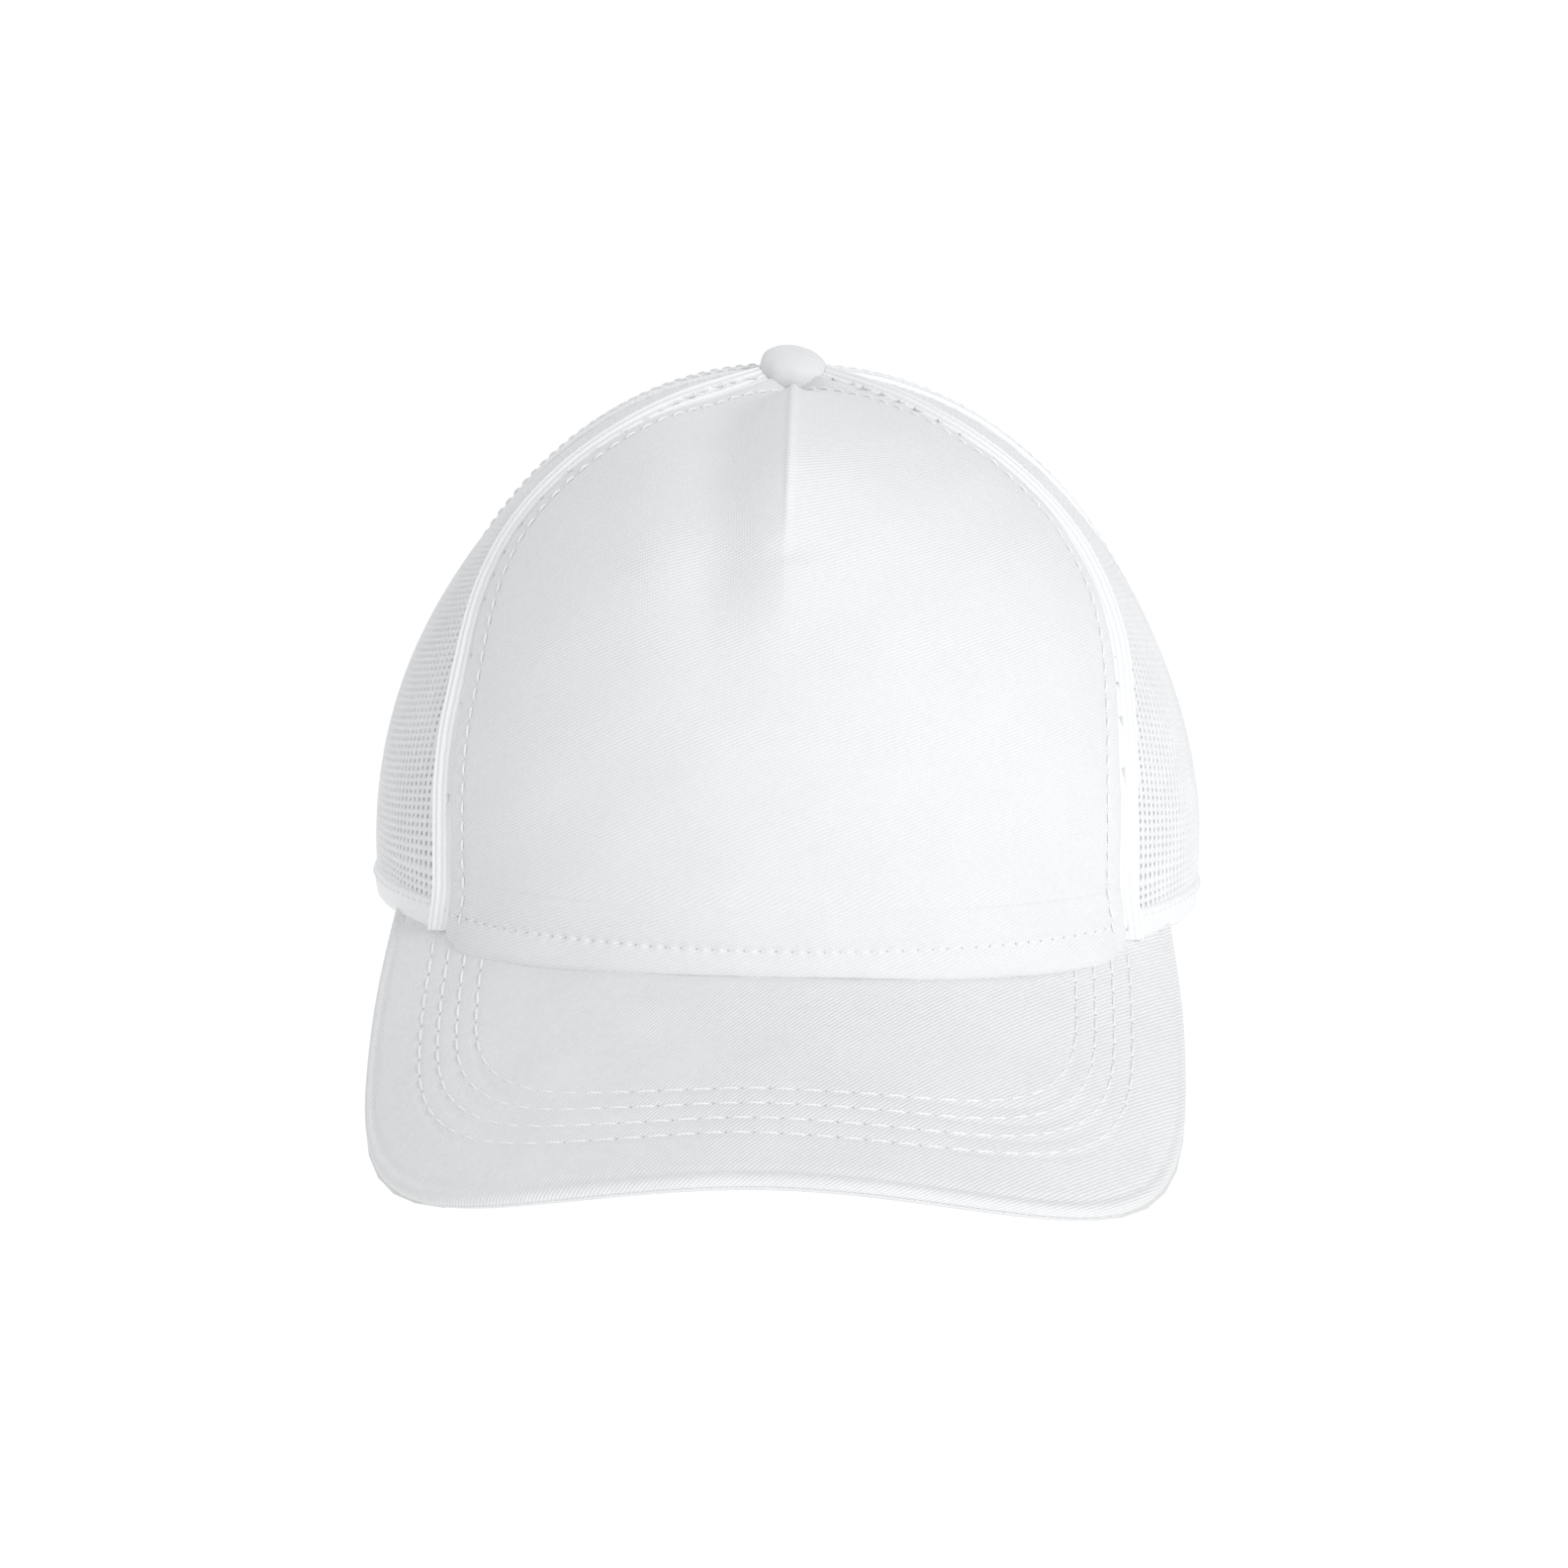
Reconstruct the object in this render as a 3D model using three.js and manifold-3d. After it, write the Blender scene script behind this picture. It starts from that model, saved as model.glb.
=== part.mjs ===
// A five-panel trucker cap: a stiff, foam-backed front panel, four net panels, a curved visor,
// a covered button, inner seam tapes, a sweatband and a two-part snap strap across the rear arch.
//
// Units are millimetres and +Z is up. The cap faces -Y and is symmetric about the plane X = 0.
// The origin is the centre of the head opening, in the plane of the crown's lower edge.
// Left and right are the wearer's, so left is +X and right is -X.
import * as THREE from 'three';
import { mergeVertices } from 'three/addons/utils/BufferGeometryUtils.js';
import Module from 'manifold-3d';

const wasm = await Module();
wasm.setup();

// ---------------------------------------------------------------------------------------------
// Driving dimensions
// ---------------------------------------------------------------------------------------------
const GAP = 0.3; // clearance between two pieces that touch
const LAYER_GAP = 0.4; // clearance between two curved layers, whose flat facets don't line up

// The crown's outer surface. An angle runs round the crown from the front (0) through the
// wearer's left (90 degrees) to the rear (180 degrees).
const CROWN_HALF_WIDTH = 88;
const CROWN_FRONT_DEPTH = 97.5;
const CROWN_REAR_DEPTH = 99.3;
const CROWN_HEIGHT = 113;
const CROWN_WIDEST_HEIGHT = 12; // the wall leans out up to here and rounds over above it
const CROWN_LEAN = 0.014; // how much smaller the lower edge is than the widest ring
const FRONT_PLAN_POWER = 2.0;
const REAR_PLAN_POWER = 2.2;
const FRONT_PROFILE_POWER = 2.82; // a tall, boxy front
const SIDE_PROFILE_POWER = 1.93;
const REAR_PROFILE_POWER = 2.33;
const VISOR_DIP = 3.6; // how far the wall runs down behind the visor
const VISOR_END_ANGLE = 68; // degrees from the front, where the visor's seam ends
const SKIRT_RISE = -0.5; // the rise value of the lower edge; 0 is the widest ring, PI / 2 the top

// Seams between the panels, in degrees from the front. The front panel's edge wanders back over
// the shoulder and forward again to the button: its angle at even steps from hem to top.
const FRONT_SEAM_ANGLES = [52, 50.5, 49.5, 50, 53.5, 58.5, 61, 58, 50.5, 45, 42];
const SIDE_SEAM_ANGLE = 116;
const REAR_SEAM_ANGLE = 180;
const TOP_HOLE_RADIUS = 4; // the panels stop short of the button's shank

const CLOTH = 0.8;
const FOAM = 2.5;
const FOAM_TRIM = 10; // the foam stops this far short of the panel's side edges
const FOAM_START = 0.02; // the foam's lower and upper edges, as fractions of the climb to the top
const FOAM_END = 0.92;
const TAPE = 0.6;
const TAPE_WIDTH = 18;
const TAPE_END = 0.925; // where the seam tapes end below the button, as a fraction of the climb
const DART_START = 0.63; // the front dart's two ends, as fractions of the climb
const DART_END = 0.88;
const TAPE_CLEARANCE = 1; // between the end of a seam tape and the band that it would run into

const HEM_TAPE_HEIGHT = 12;
const HEM_TAPE_START = 59; // degrees from the front, just past the front seam
const HEM_TAPE_STOP = 38.6; // degrees from the rear seam, just short of the arch's binding
const SWEATBAND_INSET = 5.4;
const SWEATBAND_THICKNESS = 1.5;
const SWEATBAND_HEIGHT = 33;
const SWEATBAND_BOTTOM = 0.6;
const SWEATBAND_END = 150.2; // degrees from the front

const ARCH_HALF_WIDTH = 50;
const ARCH_HEIGHT = 57;
const BINDING_WIDTH = 8;
const BINDING_CLOTH = 0.6;
const BINDING_HALF_TURN = 50; // degrees from the rear seam that surely hold the whole binding

const STRAP_HEIGHT = 20;
const STRAP_BOTTOM = 1;
const STRAP_MIDDLE = STRAP_BOTTOM + STRAP_HEIGHT / 2;
const STRAP_THICKNESS = 1.2;
const STRAP_ROOT_ANGLE = 27; // degrees from the rear seam to the line where a strap bends
const STRAP_TAB_ANGLE = 15.8; // degrees of strap that are sewn in, past the bending line
const STRAP_END_ANGLE = 15.3; // degrees that a strap reaches past the rear seam
const BEND_CLEARANCE = 0.55; // degrees, so that the tongue turns clear of its sewn tab
const TAB_CLEARANCE = 0.2; // degrees between the bending line and the sewn tab
const SNAP_ANGLE = 5.6; // degrees between two snaps, about 9.5 mm
const SNAP_COUNT = 7;
const SNAPS_PAST_CENTRE = 2;
const HOLE_RADIUS = 2.5;
const PEG_BASE_RADIUS = 1.9;
const PEG_TIP_RADIUS = 1.2;
const PEG_HEIGHT = 2.2;
const HOLE_CUT = 10; // how far a hole's cutter reaches to each side of the crown's surface

// The visor is a sheet bent to a cylinder whose axis slopes down and forward.
const VISOR_RADIUS = 128;
const VISOR_SLOPE = THREE.MathUtils.degToRad(30);
const VISOR_ORIGIN = new THREE.Vector3(0, -97, 0.5); // top of the visor at the front of the crown
const VISOR_HALF_WIDTH = 93; // measured flat
const VISOR_CORNER = -8; // flat distance in front of the origin where the visor is widest
const VISOR_REACH = 75; // from that widest line to the front edge
const VISOR_POWER = 2.85;
const VISOR_TAPER = 6; // how much each side narrows from the widest line to the rear
const VISOR_TAIL = 54;
const VISOR_COVER = 0.5;
const VISOR_BOARD = 1.6;

const BUTTON_RADIUS = 7.25;
const BUTTON_HEIGHT = 5;
const BUTTON_LIFT = 0.3; // the button's rim stands this far above the crown's top
const BUTTON_CLOTH = 0.6;
const BUTTON_SHELL_WALL = 0.9;
const RIVET_SHANK_RADIUS = 1.6;
const RIVET_PLATE_RADIUS = 6.5;
const RIVET_PLATE_DROP = 6.5; // from the crown's top down to the underside of the inner plate
const RIVET_PLATE = 1;
const RIVET_CONE = 0.6; // rise of the plate's upper side to the shank
const RIVET_HEAD_OVERHANG = 1;
const RIVET_HEAD_CLEARANCE = 1; // below and above the head, inside the shell

// How finely curved surfaces are divided. Panels share their rows, so that layers line up.
const PANEL_ROWS = 16;
const FRONT_COLUMNS = 20;
const SIDE_COLUMNS = 10;
const REAR_COLUMNS = 11;
const FOAM_COLUMNS = 16;
const TAPE_ROWS = 14;
const HEM_TAPE_COLUMNS = 14;
const SWEATBAND_COLUMNS = 56;
const BAND_ROWS = 2;
const BINDING_COLUMNS = 20;
const BINDING_ROWS = 9;
const STRAP_COLUMNS = 14;
const STRAP_ROWS = 3;
const PEG_SIDES = 10;
const ROUND_END_STEPS = 8;
const ARCH_STEPS = 12;
const VISOR_COLUMNS = 22;
const VISOR_EDGE_STEPS = 22;
const CROWN_BLOCK_COLUMNS = 96;
const BUTTON_SIDES = 24;
const BUTTON_STEPS = 6;

// Cutting solids that only have to reach past the cap.
const REAR_CUTTER_FAR = 130; // the Y where cutters for the rear begin
const REAR_CUTTER_LENGTH = 100;
const ARCH_CUTTER_FOOT = 20;
const STRAP_CUTTER_SIDE = 90;
const VISOR_CUTTER_ABOVE = 40;
const VISOR_CUTTER_LENGTH = 120;
const VISOR_CUTTER_MARGIN = 2;
const CROWN_BLOCK_FOOT = -25;

const COLOURS = {
  fabric: 0xf1f1ef,
  net: 0xf4f4f2,
  foam: 0xe9e7e0,
  tape: 0xecebe7,
  plastic: 0xf3f3f0,
  board: 0xd9d8d2,
  metal: 0xb9bbbd,
};

// ---------------------------------------------------------------------------------------------
// Materials
// ---------------------------------------------------------------------------------------------
function material(color, roughness, metalness = 0) {
  return new THREE.MeshStandardMaterial({ color, roughness, metalness });
}

const fabricMaterial = material(COLOURS.fabric, 0.9);
const netMaterial = material(COLOURS.net, 0.7);
const foamMaterial = material(COLOURS.foam, 0.95);
const tapeMaterial = material(COLOURS.tape, 0.9);
const strapMaterial = material(COLOURS.plastic, 0.4);
const boardMaterial = material(COLOURS.board, 0.5);
const metalMaterial = material(COLOURS.metal, 0.35, 0.9);

// ---------------------------------------------------------------------------------------------
// The crown's surface
// ---------------------------------------------------------------------------------------------
const radians = THREE.MathUtils.degToRad;

// Mixes a side value with a front or rear one by how squarely the angle faces front or rear.
function byFacing(angle, front, side, rear) {
  const facing = Math.cos(angle);
  const end = facing > 0 ? front : rear;
  return side + (end - side) * facing * facing;
}

function planRadius(angle) {
  const front = Math.cos(angle) > 0;
  const depth = front ? CROWN_FRONT_DEPTH : CROWN_REAR_DEPTH;
  const power = front ? FRONT_PLAN_POWER : REAR_PLAN_POWER;
  const across = Math.abs(Math.sin(angle) / CROWN_HALF_WIDTH) ** power;
  const along = Math.abs(Math.cos(angle) / depth) ** power;
  return (across + along) ** (-1 / power);
}

function profilePower(angle) {
  return byFacing(angle, FRONT_PROFILE_POWER, SIDE_PROFILE_POWER, REAR_PROFILE_POWER);
}

// How far below the hem's plane the wall runs: only behind the visor.
function dipAt(angle) {
  const share = Math.min(1, Math.abs(angle) / radians(VISOR_END_ANGLE));
  return VISOR_DIP * (1 - share ** 6);
}

function surfacePoint(angle, rise) {
  const power = profilePower(angle);
  let radius = planRadius(angle);
  let height = CROWN_WIDEST_HEIGHT;
  if (rise >= 0) {
    height += (CROWN_HEIGHT - CROWN_WIDEST_HEIGHT) * Math.sin(rise) ** (2 / power);
    radius *= Math.max(0, Math.cos(rise)) ** (2 / power);
  } else {
    const down = rise / SKIRT_RISE;
    height -= (CROWN_WIDEST_HEIGHT + dipAt(angle)) * down;
    radius *= 1 - CROWN_LEAN * down * down;
  }
  return new THREE.Vector3(radius * Math.sin(angle), -radius * Math.cos(angle), height);
}

// A point at an offset along the outward normal; a negative offset is inside the crown.
function crownPoint(angle, rise, offset) {
  const step = 0.002;
  const low = Math.max(SKIRT_RISE, rise - step);
  const round = surfacePoint(angle + step, rise).sub(surfacePoint(angle - step, rise));
  const up = surfacePoint(angle, Math.min(rise + step, Math.PI / 2)).sub(surfacePoint(angle, low));
  const normal = round.cross(up).normalize();
  return surfacePoint(angle, rise).addScaledVector(normal, offset);
}

function riseAtHeight(angle, height) {
  if (height < CROWN_WIDEST_HEIGHT) {
    return (SKIRT_RISE * (CROWN_WIDEST_HEIGHT - height)) / (CROWN_WIDEST_HEIGHT + dipAt(angle));
  }
  const share = (height - CROWN_WIDEST_HEIGHT) / (CROWN_HEIGHT - CROWN_WIDEST_HEIGHT);
  return Math.asin(share ** (profilePower(angle) / 2));
}

function riseAtRadius(angle, radius) {
  return Math.acos((radius / planRadius(angle)) ** (profilePower(angle) / 2));
}

// A climb of 0 is the lower edge and 1 is the edge of the small hole at the top.
function riseAtClimb(angle, climb, topRadius = TOP_HOLE_RADIUS) {
  return SKIRT_RISE + (riseAtRadius(angle, topRadius) - SKIRT_RISE) * climb;
}

const frontSeamCurve = new THREE.CatmullRomCurve3(
  FRONT_SEAM_ANGLES.map((angle, index) => {
    return new THREE.Vector3(radians(angle), index / (FRONT_SEAM_ANGLES.length - 1), 0);
  }),
);

function frontSeamAt(climb) {
  return frontSeamCurve.getPoint(Math.min(1, Math.max(0, climb))).x;
}

// The angle that a distance along the surface takes up at this place.
function angleFor(distance, angle, rise) {
  const point = surfacePoint(angle, rise);
  return distance / Math.hypot(point.x, point.y);
}

// ---------------------------------------------------------------------------------------------
// Closed solids
// ---------------------------------------------------------------------------------------------
function geometryFrom(points, triangles) {
  const geometry = new THREE.BufferGeometry();
  const positions = new Float32Array(points.flatMap((point) => [point.x, point.y, point.z]));
  geometry.setAttribute('position', new THREE.BufferAttribute(positions, 3));
  geometry.setIndex(triangles);
  return geometry;
}

// A sheet with thickness. pointAt(i, j, side) gives the grid's points on the outer face (side 0)
// and on the inner face (side 1); i runs to the right of j when seen from outside.
function sheetGeometry(columns, rows, pointAt) {
  const points = [];
  for (let side = 0; side < 2; side += 1) {
    for (let j = 0; j <= rows; j += 1) {
      for (let i = 0; i <= columns; i += 1) {
        points.push(pointAt(i / columns, j / rows, side));
      }
    }
  }
  const index = (i, j, side) => side * (rows + 1) * (columns + 1) + j * (columns + 1) + i;
  const triangles = [];
  const quad = (a, b, c, d) => triangles.push(a, b, c, a, c, d);
  for (let j = 0; j < rows; j += 1) {
    for (let i = 0; i < columns; i += 1) {
      quad(index(i, j, 0), index(i + 1, j, 0), index(i + 1, j + 1, 0), index(i, j + 1, 0));
      quad(index(i, j, 1), index(i, j + 1, 1), index(i + 1, j + 1, 1), index(i + 1, j, 1));
    }
  }
  for (let i = 0; i < columns; i += 1) {
    quad(index(i, 0, 1), index(i + 1, 0, 1), index(i + 1, 0, 0), index(i, 0, 0));
    quad(index(i, rows, 0), index(i + 1, rows, 0), index(i + 1, rows, 1), index(i, rows, 1));
  }
  for (let j = 0; j < rows; j += 1) {
    quad(index(0, j, 0), index(0, j + 1, 0), index(0, j + 1, 1), index(0, j, 1));
    quad(index(columns, j, 1), index(columns, j + 1, 1), index(columns, j + 1, 0), index(columns, j, 0));
  }
  return geometryFrom(points, triangles);
}

// A solid through rings of equally many points, bottom ring first, closed by a fan at each end.
function ringGeometry(rings) {
  const count = rings[0].length;
  const points = rings.flat();
  const centreOf = (ring) => {
    return ring.reduce((sum, point) => sum.add(point), new THREE.Vector3()).divideScalar(count);
  };
  const bottom = points.push(centreOf(rings[0])) - 1;
  const top = points.push(centreOf(rings[rings.length - 1])) - 1;
  const last = (rings.length - 1) * count;
  const triangles = [];
  for (let i = 0; i < count; i += 1) {
    const next = (i + 1) % count;
    for (let level = 0; level < last; level += count) {
      triangles.push(level + i, level + next, level + count + next);
      triangles.push(level + i, level + count + next, level + count + i);
    }
    triangles.push(bottom, next, i);
    triangles.push(top, last + i, last + next);
  }
  return geometryFrom(points, triangles);
}

function solidFrom(geometry) {
  const bare = geometry.clone();
  bare.deleteAttribute('normal');
  bare.deleteAttribute('uv');
  const merged = mergeVertices(bare, 1e-4);
  return new wasm.Manifold(
    new wasm.Mesh({
      numProp: 3,
      vertProperties: Float32Array.from(merged.attributes.position.array),
      triVerts: Uint32Array.from(merged.index.array),
    }),
  );
}

function geometryOf(solid) {
  const mesh = solid.getMesh();
  const geometry = new THREE.BufferGeometry();
  geometry.setAttribute('position', new THREE.BufferAttribute(mesh.vertProperties, mesh.numProp));
  geometry.setIndex(new THREE.BufferAttribute(mesh.triVerts, 1));
  return geometry;
}

const cap = new THREE.Group();

function addPiece(name, geometry, pieceMaterial) {
  geometry.computeVertexNormals();
  const mesh = new THREE.Mesh(geometry, pieceMaterial);
  mesh.name = name;
  cap.add(mesh);
}

// ---------------------------------------------------------------------------------------------
// Crown panels
// ---------------------------------------------------------------------------------------------
// A panel between two seams, each given as a function of the climb, less half a gap at each.
function panelGeometry(columns, fromSeam, toSeam) {
  return sheetGeometry(columns, PANEL_ROWS, (across, climb, side) => {
    const from = fromSeam(climb);
    const to = toSeam(climb);
    const middle = (from + to) / 2;
    const margin = angleFor(GAP / 2, middle, riseAtClimb(middle, climb));
    const angle = from + margin + (to - from - 2 * margin) * across;
    return crownPoint(angle, riseAtClimb(angle, climb), side ? -CLOTH : 0);
  });
}

const frontSeamLeft = (climb) => frontSeamAt(climb);
const frontSeamRight = (climb) => -frontSeamAt(climb);
const sideSeamLeft = () => radians(SIDE_SEAM_ANGLE);
const sideSeamRight = () => -radians(SIDE_SEAM_ANGLE);
const rearSeamLeft = () => radians(REAR_SEAM_ANGLE);
const rearSeamRight = () => -radians(REAR_SEAM_ANGLE);

// An upright shape drawn at a height and run forward along Y through the rear of the cap.
function rearBar(shape, curveSegments, height) {
  const options = { depth: REAR_CUTTER_LENGTH, bevelEnabled: false, curveSegments };
  const geometry = new THREE.ExtrudeGeometry(shape, options);
  geometry.rotateX(Math.PI / 2);
  geometry.translate(0, REAR_CUTTER_FAR, height);
  return solidFrom(geometry);
}

// The half-moon opening, seen from the rear, grown or shrunk by a margin, as a bar along Y.
function archBar(margin) {
  const width = ARCH_HALF_WIDTH + margin;
  const rise = ARCH_HEIGHT + margin;
  const shape = new THREE.Shape();
  shape.moveTo(-width, -ARCH_CUTTER_FOOT);
  shape.lineTo(width, -ARCH_CUTTER_FOOT);
  shape.absellipse(0, 0, width, rise, 0, Math.PI, false);
  shape.closePath();
  return rearBar(shape, ARCH_STEPS, 0);
}

function addPanels() {
  const front = panelGeometry(FRONT_COLUMNS, frontSeamRight, frontSeamLeft);
  const sideLeft = panelGeometry(SIDE_COLUMNS, frontSeamLeft, sideSeamLeft);
  const sideRight = panelGeometry(SIDE_COLUMNS, sideSeamRight, frontSeamRight);
  const rearLeft = solidFrom(panelGeometry(REAR_COLUMNS, sideSeamLeft, rearSeamLeft));
  const rearRight = solidFrom(panelGeometry(REAR_COLUMNS, rearSeamRight, sideSeamRight));
  const arch = archBar(0);
  addPiece('front_panel', front, fabricMaterial);
  addPiece('side_mesh_left', sideLeft, netMaterial);
  addPiece('side_mesh_right', sideRight, netMaterial);
  addPiece('rear_mesh_left', geometryOf(rearLeft.subtract(arch)), netMaterial);
  addPiece('rear_mesh_right', geometryOf(rearRight.subtract(arch)), netMaterial);
}

// The foam is glued inside the front panel and is trimmed back from its seams.
function addFoam() {
  const outer = -CLOTH - LAYER_GAP;
  const geometry = sheetGeometry(FOAM_COLUMNS, PANEL_ROWS, (across, share, side) => {
    const climb = FOAM_START + (FOAM_END - FOAM_START) * share;
    const edge = frontSeamAt(climb);
    const trim = angleFor(FOAM_TRIM, edge, riseAtClimb(edge, climb));
    const angle = (edge - trim) * (2 * across - 1);
    return crownPoint(angle, riseAtClimb(angle, climb), side ? outer - FOAM : outer);
  });
  addPiece('front_foam', geometry, foamMaterial);
}

// ---------------------------------------------------------------------------------------------
// Inner tapes
// ---------------------------------------------------------------------------------------------
const tapeOuter = -CLOTH - LAYER_GAP;

// A tape centred on a seam, from one climb to another.
function tapeGeometry(seam, fromClimb, toClimb, outer) {
  return sheetGeometry(2, TAPE_ROWS, (across, share, side) => {
    const climb = fromClimb + (toClimb - fromClimb) * share;
    const centre = seam(climb);
    const half = angleFor(TAPE_WIDTH / 2, centre, riseAtClimb(centre, climb));
    const angle = centre + half * (2 * across - 1);
    return crownPoint(angle, riseAtClimb(angle, climb), side ? outer - TAPE : outer);
  });
}

function climbAtHeight(angle, height) {
  return (riseAtHeight(angle, height) - SKIRT_RISE) / (riseAtClimb(angle, 1) - SKIRT_RISE);
}

function addTapes() {
  const hemTop = HEM_TAPE_HEIGHT + TAPE_CLEARANCE;
  const frontStart = climbAtHeight(frontSeamAt(0), hemTop);
  const sideStart = climbAtHeight(radians(SIDE_SEAM_ANGLE), hemTop);
  const rearStart = climbAtHeight(Math.PI, ARCH_HEIGHT + BINDING_WIDTH + TAPE_CLEARANCE);
  const dartOuter = tapeOuter - FOAM - LAYER_GAP;
  const tapes = [
    ['seam_tape_front_left', frontSeamLeft, frontStart, TAPE_END, tapeOuter],
    ['seam_tape_front_right', frontSeamRight, frontStart, TAPE_END, tapeOuter],
    ['seam_tape_side_left', sideSeamLeft, sideStart, TAPE_END, tapeOuter],
    ['seam_tape_side_right', sideSeamRight, sideStart, TAPE_END, tapeOuter],
    ['seam_tape_rear', rearSeamLeft, rearStart, TAPE_END, tapeOuter],
    ['seam_tape_dart', () => 0, DART_START, DART_END, dartOuter],
  ];
  for (const [name, seam, start, end, outer] of tapes) {
    addPiece(name, tapeGeometry(seam, start, end, outer), tapeMaterial);
  }
}

// A band set in from the wall, between two angles and two heights.
function bandGeometry(columns, rows, [from, to], [bottom, top], outer, thickness) {
  return sheetGeometry(columns, rows, (across, share, side) => {
    const angle = radians(from + (to - from) * across);
    const rise = riseAtHeight(angle, bottom + (top - bottom) * share);
    return crownPoint(angle, rise, side ? outer - thickness : outer);
  });
}

function addHemTapes() {
  const end = REAR_SEAM_ANGLE - HEM_TAPE_STOP;
  const heights = [0, HEM_TAPE_HEIGHT];
  const tape = (angles) => {
    return bandGeometry(HEM_TAPE_COLUMNS, BAND_ROWS, angles, heights, tapeOuter, TAPE);
  };
  addPiece('hem_tape_left', tape([HEM_TAPE_START, end]), tapeMaterial);
  addPiece('hem_tape_right', tape([-end, -HEM_TAPE_START]), tapeMaterial);
}

function addSweatband() {
  const angles = [-SWEATBAND_END, SWEATBAND_END];
  const heights = [SWEATBAND_BOTTOM, SWEATBAND_BOTTOM + SWEATBAND_HEIGHT];
  const outer = -SWEATBAND_INSET;
  const band = bandGeometry(SWEATBAND_COLUMNS, BAND_ROWS, angles, heights, outer, SWEATBAND_THICKNESS);
  addPiece('sweatband', band, fabricMaterial);
}

// ---------------------------------------------------------------------------------------------
// Rear arch: binding and snap strap
// ---------------------------------------------------------------------------------------------
// The binding is a strip folded over the arch's edge: an outer leg, an inner leg and the fold.
function addArchBinding() {
  const angles = [REAR_SEAM_ANGLE - BINDING_HALF_TURN, REAR_SEAM_ANGLE + BINDING_HALF_TURN];
  const heights = [0, ARCH_HEIGHT + 2 * BINDING_WIDTH];
  const around = (outer, inner) => {
    return solidFrom(bandGeometry(BINDING_COLUMNS, BINDING_ROWS, angles, heights, outer, outer - inner));
  };
  const outerFace = LAYER_GAP + BINDING_CLOTH;
  const innerFace = -CLOTH - LAYER_GAP - BINDING_CLOTH;
  const whole = around(outerFace, innerFace)
    .intersect(archBar(BINDING_WIDTH))
    .subtract(archBar(-GAP - BINDING_CLOTH));
  const groove = around(LAYER_GAP, -CLOTH - LAYER_GAP).subtract(archBar(-GAP));
  addPiece('rear_arch_binding', geometryOf(whole.subtract(groove)), tapeMaterial);
}

// A strap is an upright strip that follows the rear of the head: its point at an angle from the
// rear seam (positive on the wearer's left), a height and an offset from the crown's surface.
function strapPoint(angle, height, offset) {
  const round = Math.PI - angle;
  const point = crownPoint(round, riseAtHeight(round, height), offset);
  return new THREE.Vector3(point.x, point.y, height);
}

function strapNormal(angle) {
  return strapPoint(angle, STRAP_MIDDLE, 1).sub(strapPoint(angle, STRAP_MIDDLE, 0)).normalize();
}

function stripSolid(from, to, offset) {
  const geometry = sheetGeometry(STRAP_COLUMNS, STRAP_ROWS, (across, share, side) => {
    const angle = radians(to + (from - to) * across);
    const height = STRAP_BOTTOM + STRAP_HEIGHT * share;
    return strapPoint(angle, height, side ? offset - STRAP_THICKNESS : offset);
  });
  return solidFrom(geometry);
}

// A bar along Y whose end is a half circle, which rounds a strap's free end.
function roundEndBar(tip, side) {
  const radius = STRAP_HEIGHT / 2;
  const centre = tip + side * radius;
  const shape = new THREE.Shape();
  shape.moveTo(side * STRAP_CUTTER_SIDE, -radius);
  shape.lineTo(centre, -radius);
  shape.absarc(centre, 0, radius, -Math.PI / 2, Math.PI / 2, side > 0);
  shape.lineTo(side * STRAP_CUTTER_SIDE, radius);
  shape.closePath();
  return rearBar(shape, ROUND_END_STEPS, STRAP_MIDDLE);
}

// A pin that stands on the strap's line at an angle, from one offset to another.
function pinSolid(angle, from, to, baseRadius, tipRadius) {
  const geometry = new THREE.CylinderGeometry(tipRadius, baseRadius, to - from, PEG_SIDES);
  const normal = strapNormal(angle);
  geometry.translate(0, (from + to) / 2, 0);
  const turn = new THREE.Quaternion().setFromUnitVectors(new THREE.Vector3(0, 1, 0), normal);
  geometry.applyQuaternion(turn);
  const foot = strapPoint(angle, STRAP_MIDDLE, 0);
  geometry.translate(foot.x, foot.y, foot.z);
  return solidFrom(geometry);
}

const holeStrapOffset = -CLOTH - LAYER_GAP - BINDING_CLOTH - LAYER_GAP;
const pegStrapOffset = holeStrapOffset - STRAP_THICKNESS - GAP;

// The part of a strap that moves: it stops just short of its bending line.
function tongueSolid(side, offset) {
  const root = STRAP_ROOT_ANGLE - BEND_CLEARANCE;
  const from = side > 0 ? -STRAP_END_ANGLE : -root;
  const to = side > 0 ? root : STRAP_END_ANGLE;
  const tip = strapPoint(radians(-side * STRAP_END_ANGLE), 0, offset).x;
  return stripSolid(from, to, offset).intersect(roundEndBar(tip, side));
}

// The part of a strap that is sewn in behind the arch's binding.
function tabSolid(side, offset) {
  const near = STRAP_ROOT_ANGLE + TAB_CLEARANCE;
  const far = STRAP_ROOT_ANGLE + STRAP_TAB_ANGLE;
  const from = side > 0 ? near : -far;
  const to = side > 0 ? far : -near;
  return stripSolid(from, to, offset);
}

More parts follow.
